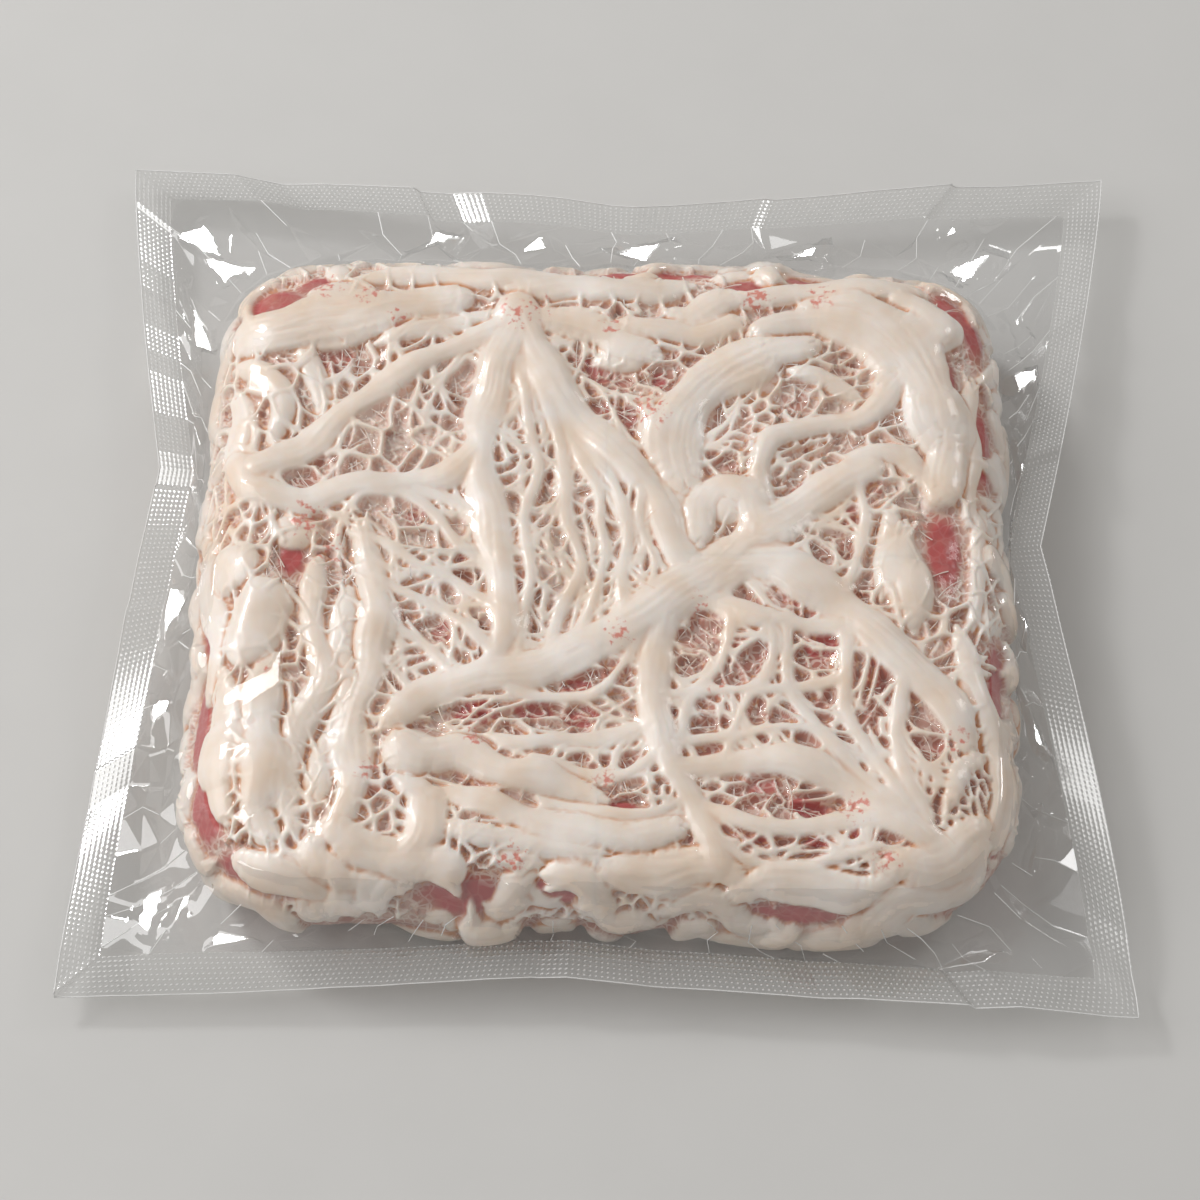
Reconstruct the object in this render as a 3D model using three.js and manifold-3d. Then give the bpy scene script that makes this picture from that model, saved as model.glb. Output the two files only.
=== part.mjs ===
// A vacuum pack of caul fat, lying flat: a clear pouch drawn tight over a folded
// bundle of lacy fat. Film and contents are one solid here, because the film
// clings to every rope and lump of the fat.
//
// Millimetres, +Z up. X runs along the long side of the pouch, Y away from the
// near edge. The origin is the middle of the pack's box, on the surface it lies on.

import * as THREE from "three";
import { mergeVertices } from "three/addons/utils/BufferGeometryUtils.js";
import Module from "manifold-3d";

const wasm = await Module();
wasm.setup();

// ---- driving dimensions -------------------------------------------------

// The pouch: two webs of film, sealed all round in a flat band.
const POUCH = { width: 252, depth: 237, sealBand: 10, webPair: 0.6, cornerHeight: 7 };

// How far the vacuum draws the middle of each side inwards, and where along the
// side, from -1 at one corner to 1 at the other. A drawn-in edge also lifts.
const PINCH = {
  left: { depth: 14, at: 0.2 },
  right: { depth: 20, at: 0.02 },
  far: { depth: 15, at: 0.04 },
  near: { depth: 6, at: -0.12 },
};
const PINCH_LIFT = 0.45;
const EDGE_RIPPLE = { height: 1.3, length: 47 };

// The bundle of fat: a flat pillow with round shoulders.
const BUNDLE = {
  left: -98, right: 97, near: -101, far: 79,
  top: 32.4, seam: 13.5, seamBand: 2,
  cornerRadius: 30, shoulder: 17, footInset: 14,
};
const LUMP = { height: 1.1, length: 31 };

// Film between the bundle and the seal stands in radiating folds.
const FOLD = { height: 2.6, count: 46 };

// A rope's middle lies this far above the bundle's face, and its half height is
// this share of its width.
const ROPE = { rise: 0.7, halfHeight: 0.4, sides: 7, thinSides: 5, step: 7 };
const THIN_ROPE = 4.5;

// Lobes of fat bulge all round the side, in uneven sizes.
const SIDE_LOBES = {
  count: 20, halfLength: [13, 21], halfHeight: [6, 9], halfDepth: 8, standsOut: 1.8, aboveSeam: [3, 9], seed: 11,
};

// Segments along the long sides of the two meshes.
const BUNDLE_GRID = { across: 20, deep: 18, shoulderRings: 3 };
const POUCH_GRID = { across: 30, deep: 30, foldRings: 2 };

// ---- the thick ropes of fat, as they lie on the bundle --------------------
// Each runs through a few places, with its width at the start and at the end.

const ROPES = [
  // The apex near the far side, with the loop that hangs to the left of it.
  { width: [6, 7], through: [[-24, 54], [-41, 48], [-60, 32], [-75, 19], [-88, 10]] },
  { width: [8, 6], through: [[-90, 9], [-80, 0], [-60, 3], [-41, 8], [-28, 26]] },
  { width: [8, 6], through: [[-25, 56], [-31, 30], [-31, 5], [-26, -22], [-25, -48]] },
  { width: [8, 7], through: [[-23, 55], [-14, 34], [0, 16], [10, 3], [22, -15]] },
  // Ribs of the fan that opens below the apex.
  { width: [2.6, 2.6], through: [[-20, 36], [-16, 11], [-19, -14], [-22, -42]] },
  { width: [3.2, 3], through: [[-16, 28], [-10, 3], [-5, -20], [-14, -42]] },
  { width: [3, 2.6], through: [[-11, 24], [-2, 2], [-2, -20], [-2, -38]] },
  { width: [2.6, 2.6], through: [[-6, 16], [4, -4], [2, -24], [6, -34]] },
  // The great diagonal and its two arms to the right.
  { width: [9, 11], through: [[-52, -59], [-40, -48], [-18, -46], [4, -34]] },
  { width: [11, 13], through: [[2, -35], [18, -25], [32, -15], [44, -4]] },
  { width: [13, 7], through: [[40, -8], [52, 4], [60, 13], [66, 22]] },
  { width: [10, 8], through: [[40, -10], [54, -18], [69, -33], [81, -47], [91, -64]] },
  { width: [6, 4.6], through: [[23, -23], [40, -30], [61, -31]] },
  // The lower trunk and its branches.
  { width: [8, 8], through: [[14, -32], [14, -58], [22, -76], [33, -94]] },
  { width: [5, 9], through: [[20, -72], [36, -67], [53, -70], [70, -80], [88, -88]] },
  { width: [4, 4.6], through: [[44, -46], [56, -62], [70, -77], [80, -84]] },
  { width: [3.6, 4], through: [[70, -45], [67, -60], [73, -78]] },
  { width: [4, 3.4], through: [[58, -30], [57, -46], [64, -68]] },
  { width: [4, 4.4], through: [[30, -82], [48, -83], [64, -79]] },
  { width: [3, 3], through: [[10, -47], [-2, -59], [-14, -67]] },
  // Ropes along the near left.
  { width: [8, 6], through: [[-50, -66], [-26, -75], [6, -84]] },
  { width: [6, 7], through: [[-45, -84], [-14, -87], [10, -83], [24, -74]] },
  { width: [7, 6], through: [[-50, -58], [-44, -67], [-20, -68], [4, -62]] },
  { width: [9, 8], through: [[-68, -11], [-57, -34], [-55, -52], [-61, -70], [-69, -88]] },
  { width: [8, 9], through: [[-66, -29], [-73, -50], [-74, -70], [-77, -84]] },
  { width: [8, 7], through: [[-66, -81], [-70, -89], [-58, -94], [-46, -95]] },
  { width: [7, 7], through: [[-63, -84], [-52, -91], [-41, -85], [-38, -74]] },
  // The far side.
  { width: [6, 7], through: [[-38, 62], [-20, 64], [-3, 55]] },
  { width: [6, 6], through: [[4, 55], [18, 62], [31, 56]] },
  { width: [7, 8], through: [[34, 60], [56, 65], [78, 66], [88, 52]] },
  // The swirl at the far right.
  { width: [11, 12], through: [[21, 14], [16, 29], [27, 44], [46, 55], [62, 56]] },
  { width: [5, 5], through: [[35, 4], [37, 24], [54, 31], [70, 41]] },
  { width: [12, 11], through: [[60, 57], [76, 43], [83, 20], [80, 2]] },
  { width: [4, 4], through: [[38, 59], [56, 55], [60, 34]] },
  // The right-hand edge and the near right corner.
  { width: [5, 4.6], through: [[63, 9], [66, -3], [62, -15]] },
  { width: [6, 8], through: [[88, -28], [91, -52], [92, -82]] },
  { width: [6, 6], through: [[34, -91], [52, -92], [68, -95], [82, -90]] },
  { width: [6, 7], through: [[-2, -95], [22, -97], [46, -95]] },
];

// Softer lobes of fat: place, half sizes, and how far the middle is lifted.
const LOBES = [
  { at: [-90, -20], half: [8, 13], lift: -2 },
  { at: [-82, -34], half: [6, 10], lift: 0 },
  { at: [-89, -68], half: [7, 12], lift: -2 },
  { at: [-84, -86], half: [9, 8], lift: -1 },
  { at: [-84, 44], half: [14, 10], lift: -1.5 },
  { at: [-62, 56], half: [15, 8], lift: -1.5 },
  { at: [-30, -93], half: [13, 6], lift: -1 },
  { at: [72, -16], half: [6, 14], lift: -0.5 },
  { at: [28, 3], half: [8, 7], lift: 0 },
  { at: [86, -92], half: [12, 7], lift: -1 },
  { at: [6, 40], half: [8, 8], lift: -1 },
];

// ---- shape of the bundle --------------------------------------------------

const centre = { x: (BUNDLE.left + BUNDLE.right) / 2, y: (BUNDLE.near + BUNDLE.far) / 2 };
const half = { x: (BUNDLE.right - BUNDLE.left) / 2, y: (BUNDLE.far - BUNDLE.near) / 2 };

// Slow swellings of the bundle's surface.
function swelling(x, y) {
  const turn = (2 * Math.PI) / LUMP.length;
  const wave = Math.sin(x * turn + 1.3 * Math.sin(y * turn * 0.6)) + Math.sin(y * turn * 1.2 + x * turn * 0.4);
  return (LUMP.height * wave) / 2;
}

// How far a place lies inside the bundle's outline, seen from above.
function insetAt(x, y) {
  const sideways = Math.abs(x - centre.x) - (half.x - BUNDLE.cornerRadius);
  const along = Math.abs(y - centre.y) - (half.y - BUNDLE.cornerRadius);
  const outside = Math.hypot(Math.max(sideways, 0), Math.max(along, 0));
  return BUNDLE.cornerRadius - outside - Math.min(Math.max(sideways, along), 0);
}

// 1 on the plateau, falling to 0 round the shoulder, as a quarter of an ellipse.
function roundOff(inset, width) {
  const t = THREE.MathUtils.clamp(1 - inset / width, 0, 1);
  return Math.sqrt(1 - t * t);
}

function bundleTop(x, y) {
  const share = roundOff(insetAt(x, y), BUNDLE.shoulder);
  const top = BUNDLE.top + swelling(x, y);
  const seamTop = BUNDLE.seam + BUNDLE.seamBand / 2;
  return seamTop + (top - seamTop) * share;
}

function bundleFoot(x, y) {
  const share = roundOff(insetAt(x, y), BUNDLE.footInset);
  return (BUNDLE.seam - BUNDLE.seamBand / 2) * (1 - share);
}

// A point of a rounded rectangle, where (u, v) lies on the edge of the unit square.
function onRoundedRectangle(u, v, halfX, halfY, radius) {
  const point = new THREE.Vector2(u * halfX, v * halfY);
  const corner = new THREE.Vector2(Math.sign(u) * (halfX - radius), Math.sign(v) * (halfY - radius));
  const past = point.clone().sub(corner);
  if (past.x * Math.sign(u) > 0 && past.y * Math.sign(v) > 0) {
    past.setLength(radius);
    point.copy(corner).add(past);
  }
  return point;
}

// Bends a box of unit half size into shape: place(u, v, upper) gives each corner.
function shapedBox(across, deep, place) {
  let box = new THREE.BoxGeometry(2, 2, 2, across, deep, 1);
  box.deleteAttribute("normal");
  box.deleteAttribute("uv");
  box = mergeVertices(box, 1e-4);
  const at = box.attributes.position;
  for (let i = 0; i < at.count; i += 1) {
    const point = place(at.getX(i), at.getY(i), at.getZ(i) > 0);
    at.setXYZ(i, point.x, point.y, point.z);
  }
  return box;
}

function bundleSolid() {
  const { across, deep, shoulderRings } = BUNDLE_GRID;
  // The outermost rings of the grid turn round the shoulder in even angles.
  const plateau = 1 - (2 * shoulderRings) / Math.max(across, deep);
  return shapedBox(across, deep, (u, v, upper) => {
    const ring = Math.max(Math.abs(u), Math.abs(v), 1e-6);
    const width = upper ? BUNDLE.shoulder : BUNDLE.footInset;
    const turned = Math.max(ring - plateau, 0) / (1 - plateau);
    const inset = width * (1 - Math.sin((turned * Math.PI) / 2));
    const scale = Math.min(ring / plateau, 1);
    const radius = Math.max(BUNDLE.cornerRadius - inset, 1) * scale;
    const flat = onRoundedRectangle(u / ring, v / ring, (half.x - inset) * scale, (half.y - inset) * scale, radius);
    const x = centre.x + flat.x;
    const y = centre.y + flat.y;
    return new THREE.Vector3(x, y, upper ? bundleTop(x, y) : bundleFoot(x, y));
  });
}

// ---- shape of the pouch's border ------------------------------------------

// How far a side is drawn in, at a place from -1 to 1 along it.
function drawnIn(side, place) {
  const reach = place < side.at ? 1 + side.at : 1 - side.at;
  return side.depth * Math.pow(1 - Math.abs(place - side.at) / reach, 1.25);
}

function ripple(along) {
  return EDGE_RIPPLE.height * Math.sin((2 * Math.PI * along) / EDGE_RIPPLE.length);
}

// The outer edge of the pouch, where (u, v) lies on the edge of the unit square.
function pouchEdge(u, v) {
  let x = (u * POUCH.width) / 2;
  let y = (v * POUCH.depth) / 2;
  let lift = 0;
  if (Math.abs(u) >= Math.abs(v)) {
    const pull = drawnIn(u < 0 ? PINCH.left : PINCH.right, v);
    x -= Math.sign(u) * pull;
    lift = pull * PINCH_LIFT;
  } else {
    const pull = drawnIn(v < 0 ? PINCH.near : PINCH.far, u);
    y -= Math.sign(v) * pull;
    lift = pull * PINCH_LIFT;
  }
  return new THREE.Vector3(x, y, POUCH.cornerHeight + lift + ripple(x + y));
}

// Height of the radiating folds: sharp ridges that die out at both ends.
function fold(u, v, share) {
  const around = Math.atan2(v, u) / (2 * Math.PI);
  const phase = around * FOLD.count + 0.6 * Math.sin(around * 40);
  const ridge = 1 - 2 * Math.abs(phase - Math.floor(phase) - 0.5) * 2;
  return FOLD.height * ridge * Math.sin(Math.PI * share);
}

function pouchSolid() {
  const { across, deep, foldRings } = POUCH_GRID;
  const step = 2 / across;
  const sealInner = 1 - step;
  const foldInner = sealInner - foldRings * step;
  return shapedBox(across, deep, (u, v, upper) => {
    const ring = Math.max(Math.abs(u), Math.abs(v), 1e-6);
    const edge = pouchEdge(u / ring, v / ring);
    const inner = onRoundedRectangle(u / ring, v / ring, half.x - 4, half.y - 4, BUNDLE.cornerRadius - 4);
    const root = new THREE.Vector3(centre.x + inner.x, centre.y + inner.y, BUNDLE.seam);
    const sealShare = 1 - POUCH.sealBand / edge.distanceTo(root);
    let point;
    if (ring > sealInner) {
      point = root.clone().lerp(edge, sealShare + ((1 - sealShare) * (ring - sealInner)) / step);
    } else if (ring > foldInner) {
      const share = (ring - foldInner) / (sealInner - foldInner);
      point = root.clone().lerp(edge, sealShare * share);
      point.z += fold(u / ring, v / ring, share);
    } else {
      point = root.clone();
      point.x = centre.x + (inner.x * ring) / foldInner;
      point.y = centre.y + (inner.y * ring) / foldInner;
    }
    point.z += (upper ? 0.5 : -0.5) * POUCH.webPair;
    return point;
  });
}

// ---- ropes and lobes --------------------------------------------------------

// A round bar bent along its route, flattened a little, with round ends.
function ropeSolid({ width, through }) {
  const route = new THREE.CatmullRomCurve3(through.map(([x, y]) => new THREE.Vector3(x, y, 0)));
  const thin = Math.max(...width) < THIN_ROPE;
  const steps = Math.max(4, Math.round(route.getLength() / ROPE.step));
  const sides = thin ? ROPE.thinSides : ROPE.sides;
  let bar = new THREE.CylinderGeometry(1, 1, 1, sides, steps);
  bar.deleteAttribute("normal");
  bar.deleteAttribute("uv");
  bar = mergeVertices(bar, 1e-4);
  const at = bar.attributes.position;
  for (let i = 0; i < at.count; i += 1) {
    const along = at.getY(i) + 0.5;
    const spot = route.getPointAt(along);
    const heading = route.getTangentAt(along);
    const wide = THREE.MathUtils.lerp(width[0], width[1], along);
    // The ends narrow to half their width over the first and last step.
    const fromEnd = Math.min(along, 1 - along) * steps;
    const taper = fromEnd < 0.5 ? 0.55 : 1;
    const sideways = at.getX(i) * (wide / 2) * taper;
    const upwards = at.getZ(i) * wide * ROPE.halfHeight * taper;
    const ground = bundleTop(spot.x, spot.y) + ROPE.rise;
    at.setXYZ(i, spot.x - heading.y * sideways, spot.y + heading.x * sideways, ground + upwards);
  }
  return bar;
}

function plainBall() {
  const ball = new THREE.SphereGeometry(1, 10, 7);
  ball.rotateX(Math.PI / 2);
  ball.deleteAttribute("normal");
  ball.deleteAttribute("uv");
  return mergeVertices(ball, 1e-4);
}

function lobeSolid({ at: [x, y], half: [wide, deep], lift }) {
  const high = Math.min(wide, deep) * 0.7;
  const ball = plainBall();
  ball.scale(wide, deep, high);
  ball.translate(x, y, bundleTop(x, y) + lift - high * 0.35);
  return ball;
}

// A small repeatable stream of numbers from 0 to 1.
function numberStream(seed) {
  let state = seed;
  return () => {
    state = (state * 16807) % 2147483647;
    return state / 2147483647;
  };
}

function sideLobeSolids() {
  const draw = numberStream(SIDE_LOBES.seed);
  const between = ([low, high]) => THREE.MathUtils.lerp(low, high, draw());
  const { halfDepth } = SIDE_LOBES;
  return Array.from({ length: SIDE_LOBES.count }, (_, i) => {
    const angle = (2 * Math.PI * (i + 0.5 * draw())) / SIDE_LOBES.count;
    const reach = Math.max(Math.abs(Math.cos(angle)), Math.abs(Math.sin(angle)));
    const spot = onRoundedRectangle(
      Math.cos(angle) / reach, Math.sin(angle) / reach,
      half.x - halfDepth, half.y - halfDepth, BUNDLE.cornerRadius - halfDepth);
    const length = between(SIDE_LOBES.halfLength);
    const high = between(SIDE_LOBES.halfHeight);
    const ball = plainBall();
    ball.scale(halfDepth + SIDE_LOBES.standsOut * draw(), length, high);
    ball.rotateX(0.5 * (draw() - 0.5));
    ball.rotateZ(Math.atan2(spot.y / half.y ** 3, spot.x / half.x ** 3));
    ball.translate(centre.x + spot.x, centre.y + spot.y, BUNDLE.seam + between(SIDE_LOBES.aboveSeam));
    return ball;
  });
}

// ---- joining ------------------------------------------------------------------

function toManifold(geometry) {
  const solid = new wasm.Manifold(new wasm.Mesh({
    numProp: 3,
    vertProperties: Float32Array.from(geometry.attributes.position.array),
    triVerts: Uint32Array.from(geometry.index.array),
  }));
  // A bar whose corners run left-handed comes out inside out, so its faces are turned.
  if (solid.volume() > 0) return solid;
  const turned = Uint32Array.from(geometry.index.array);
  for (let i = 0; i < turned.length; i += 3) {
    [turned[i + 1], turned[i + 2]] = [turned[i + 2], turned[i + 1]];
  }
  return new wasm.Manifold(new wasm.Mesh({
    numProp: 3,
    vertProperties: Float32Array.from(geometry.attributes.position.array),
    triVerts: turned,
  }));
}

function toGeometry(solid) {
  const mesh = solid.getMesh();
  const geometry = new THREE.BufferGeometry();
  geometry.setAttribute("position", new THREE.BufferAttribute(mesh.vertProperties, 3));
  geometry.setIndex(new THREE.BufferAttribute(mesh.triVerts, 1));
  return geometry;
}

// Joining leaves slivers where two pieces cross. Each edge shorter than this is
// shrunk to its middle, where that keeps the surface whole and folds nothing over.
const SHORTEST_EDGE = 0.7;

function withoutSlivers(geometry) {
  const at = geometry.attributes.position;
  const points = Array.from({ length: at.count }, (_, i) => new THREE.Vector3().fromBufferAttribute(at, i));
  const faces = [];
  for (let i = 0; i < geometry.index.count; i += 3) faces.push([0, 1, 2].map((k) => geometry.index.getX(i + k)));
  const facesAt = points.map(() => new Set());
  faces.forEach((face, f) => face.forEach((corner) => facesAt[corner].add(f)));

  const neighbours = (p) => new Set([...facesAt[p]].flatMap((f) => faces[f]).filter((q) => q !== p));
  const normal = (corners) => new THREE.Triangle(...corners).getNormal(new THREE.Vector3());
  const foldsOver = (p, other, middle) => [...facesAt[p]].some((f) => {
    if (faces[f].includes(other)) return false;
    const before = faces[f].map((q) => points[q]);
    const after = faces[f].map((q) => (q === p ? middle : points[q]));
    return normal(before).dot(normal(after)) < 0.3;
  });

  function shrink(keep, drop) {
    const shared = [...neighbours(keep)].filter((q) => neighbours(drop).has(q));
    if (shared.length !== 2) return false;
    const middle = points[keep].clone().lerp(points[drop], 0.5);
    // A foot point stays on the plane that the pack lies on.
    if (points[keep].z === 0 || points[drop].z === 0) middle.z = 0;
    if (foldsOver(keep, drop, middle) || foldsOver(drop, keep, middle)) return false;
    points[keep].copy(middle);
    for (const f of [...facesAt[drop]]) {
      if (faces[f].includes(keep)) {
        faces[f].forEach((q) => facesAt[q].delete(f));
        faces[f] = [];
      } else {
        faces[f] = faces[f].map((q) => (q === drop ? keep : q));
        facesAt[keep].add(f);
      }
    }
    facesAt[drop].clear();
    return true;
  }

  for (let shrunk = 1; shrunk > 0;) {
    shrunk = 0;
    for (let f = 0; f < faces.length; f += 1) {
      for (let k = 0; k < faces[f].length; k += 1) {
        const [a, b] = [faces[f][k], faces[f][(k + 1) % 3]];
        if (points[a].distanceTo(points[b]) < SHORTEST_EDGE && shrink(a, b)) {
          shrunk += 1;
          break;
        }
      }
    }
  }

  const kept = faces.filter((face) => face.length === 3);
  const soup = new THREE.BufferGeometry().setFromPoints(kept.flat().map((q) => points[q]));
  return mergeVertices(soup, 1e-4);
}

let pack = toManifold(bundleSolid()).add(toManifold(pouchSolid()));
for (const rope of ROPES) pack = pack.add(toManifold(ropeSolid(rope)));
for (const lobe of LOBES) pack = pack.add(toManifold(lobeSolid(lobe)));
for (const lobe of sideLobeSolids()) pack = pack.add(toManifold(lobe));

const geometry = withoutSlivers(toGeometry(pack));
geometry.computeBoundingBox();
const box = geometry.boundingBox;
geometry.translate(-(box.min.x + box.max.x) / 2, -(box.min.y + box.max.y) / 2, -box.min.z);

const fat = new THREE.MeshStandardMaterial({ color: 0xe6d8c8, roughness: 0.32, metalness: 0 });
const vacuumPack = new THREE.Mesh(geometry, fat);
vacuumPack.name = "vacuum_pack";

const model = new THREE.Group();
model.add(vacuumPack);

export default model;
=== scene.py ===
# Looks of a vacuum pack of caul fat: a clear pouch drawn tight over a folded,
# lacy membrane of fat. Shapes are worked out in millimetres in the pack's own
# frame and scaled to metres as each piece is finished.

import math
import random

import bmesh
import bpy
import numpy as np
from mathutils import Matrix, Vector, noise
from mathutils.bvhtree import BVHTree


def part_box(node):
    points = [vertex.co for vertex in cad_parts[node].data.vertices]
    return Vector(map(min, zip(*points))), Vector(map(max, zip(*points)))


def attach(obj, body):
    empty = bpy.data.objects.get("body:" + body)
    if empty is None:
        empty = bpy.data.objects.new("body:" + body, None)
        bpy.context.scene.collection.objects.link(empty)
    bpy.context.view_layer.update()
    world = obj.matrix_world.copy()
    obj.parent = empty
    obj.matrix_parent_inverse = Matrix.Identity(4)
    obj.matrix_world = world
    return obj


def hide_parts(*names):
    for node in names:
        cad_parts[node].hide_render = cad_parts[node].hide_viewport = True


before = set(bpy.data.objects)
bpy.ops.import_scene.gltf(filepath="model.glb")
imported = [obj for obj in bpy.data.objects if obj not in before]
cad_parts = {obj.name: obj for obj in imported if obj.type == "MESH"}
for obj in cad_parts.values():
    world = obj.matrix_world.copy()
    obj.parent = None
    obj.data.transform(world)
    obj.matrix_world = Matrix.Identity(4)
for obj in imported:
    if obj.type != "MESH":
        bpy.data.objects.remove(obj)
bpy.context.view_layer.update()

NODE = "vacuum_pack"
BODY = "root"
MM = 0.001
METRES = Matrix.Scale(MM, 4)
scene = bpy.context.scene

# The vector noise, which bends the ropes, would follow the clock without a seed.
NOISE_SEED = 1795552105
noise.seed_set(NOISE_SEED)

# ---- sizes, in millimetres ---------------------------------------------------

low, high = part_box(NODE)
POUCH_X = (high.x - low.x) / MM / 2
POUCH_Y = (high.y - low.y) / MM / 2
SEAL_BAND = 10.0
CORNER_HEIGHT = 7.0

# How far the vacuum draws the middle of each side inwards, and where along the
# side, from -1 to 1, the deepest place is. A drawn-in edge also lifts.
PINCH = {
    "left": (14.0, 0.2), "right": (20.0, 0.02),
    "far": (15.0, 0.04), "near": (6.0, -0.12),
}
PINCH_LIFT = 0.45

# The bundle of fat: a flat pillow with round shoulders.
LEFT, RIGHT, NEAR, FAR = -98.0, 97.0, -101.0, 79.0
TOP, SEAM = 32.4, 13.5
CORNER_RADIUS, SHOULDER, FOOT_INSET = 30.0, 17.0, 14.0
CENTRE = Vector(((LEFT + RIGHT) / 2, (NEAR + FAR) / 2))
HALF = Vector(((RIGHT - LEFT) / 2, (FAR - NEAR) / 2))
LUMP_HEIGHT, LUMP_LENGTH = 1.1, 31.0

# ---- the ropes of fat: width at the start and end, and the places they run through

# Ropes that belong to one net: they flow into each other where they meet.
NET_ROPES = [
    # The apex near the far side, and the loop that hangs to the left of it.
    (6, 7, [(-24, 56), (-34, 50), (-44, 45), (-54, 38), (-64, 28), (-74, 18), (-86, 12)]),
    (7, 7, [(-90, 13), (-86, 5), (-74, 2), (-62, 7), (-50, 8), (-40, 10), (-33, 17)]),
    (10, 6, [(-24, 58), (-26, 50), (-29, 38), (-31, 24), (-31, 10), (-28, -4), (-25, -20), (-24, -34), (-27, -46)]),
    (10, 7, [(-24, 58), (-18, 46), (-11, 32), (-3, 21), (6, 13), (12, 5), (16, -6), (22, -18)]),
    # Ribs of the fan below the apex.
    (3.4, 2.8, [(-22, 44), (-20, 26), (-17, 11), (-20, -4), (-18, -20), (-21, -42)]),
    (4.4, 3.4, [(-20, 44), (-14, 28), (-10, 14), (-10, 0), (-6, -14), (-10, -28), (-14, -42)]),
    (3.4, 2.8, [(-15, 34), (-6, 16), (-2, 2), (0, -10), (-3, -24), (-6, -38)]),
    (2.8, 2.6, [(-8, 22), (0, 10), (5, -2), (4, -14), (5, -32)]),
    (2.4, 2.2, [(8, 8), (8, -4), (12, -14), (10, -26)]),
    (2.6, 3, [(-27, -8), (-36, 2), (-46, 6)]),
    (2.8, 2.2, [(-25, -18), (-34, -10), (-42, 0), (-50, 6)]),
    (3, 2.4, [(-24, -28), (-36, -20), (-46, -14), (-57, -8)]),
    (2.8, 2.4, [(-26, -38), (-38, -28), (-50, -22), (-57, -18)]),
    (2.8, 2.4, [(-34, -46), (-42, -38), (-50, -32), (-55, -28)]),
    # The great diagonal and its arms.
    (8, 9, [(-52, -59), (-42, -51), (-30, -46), (-18, -43), (-6, -39)]),
    (10, 13, [(-8, -39), (4, -32), (14, -25), (24, -18)]),
    (13, 11, [(22, -20), (31, -11), (39, -4)]),
    (11, 8, [(37, -5), (47, 3), (56, 10), (64, 14)]),
    (10, 9, [(28, -13), (40, -14), (52, -20), (62, -30), (72, -40), (81, -50), (87, -62)]),
    (6, 5, [(24, -23), (36, -28), (48, -30), (60, -29)]),
    # The lower trunk and its branches.
    (7, 7, [(13, -27), (13, -40), (12, -54), (15, -64), (20, -72), (24, -82), (27, -92)]),
    (6, 8, [(18, -69), (28, -67), (40, -66), (50, -67), (60, -73), (70, -81), (82, -88)]),
    (3, 3.4, [(44, -29), (43, -42), (48, -54), (56, -63), (66, -74), (76, -84)]),
    (3.4, 3, [(57, -28), (57, -44), (59, -56), (66, -68), (72, -78)]),
    (3.4, 4, [(71, -40), (70, -54), (70, -66), (76, -80)]),
    (3, 2.8, [(30, -27), (28, -40), (21, -50), (18, -62)]),
    (2.6, 2.6, [(40, -28), (38, -44), (32, -56), (30, -66)]),
    (2.8, 2.4, [(13, -50), (26, -48), (38, -48), (48, -46), (57, -44)]),
    (2.6, 2.4, [(16, -62), (30, -60), (44, -58), (52, -58)]),
    (4, 5, [(25, -79), (36, -83), (48, -83), (60, -80), (68, -80)]),
    (3, 3, [(24, -86), (36, -92), (50, -92), (66, -88)]),
    (4, 3, [(13, -58), (4, -60), (-6, -62), (-16, -64), (-26, -62)]),
    (3, 3, [(14, -64), (6, -70), (-6, -70), (-16, -68)]),
    (3, 3, [(10, -32), (0, -48), (-10, -50), (-22, -48)]),
    (3, 3, [(20, -78), (10, -82), (-2, -80), (-14, -76)]),
    (3, 4, [(17, -2), (14, 8), (17, 16), (20, 26)]),
    (3, 3, [(60, 12), (62, 2), (60, -10), (56, -22)]),
]

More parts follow.
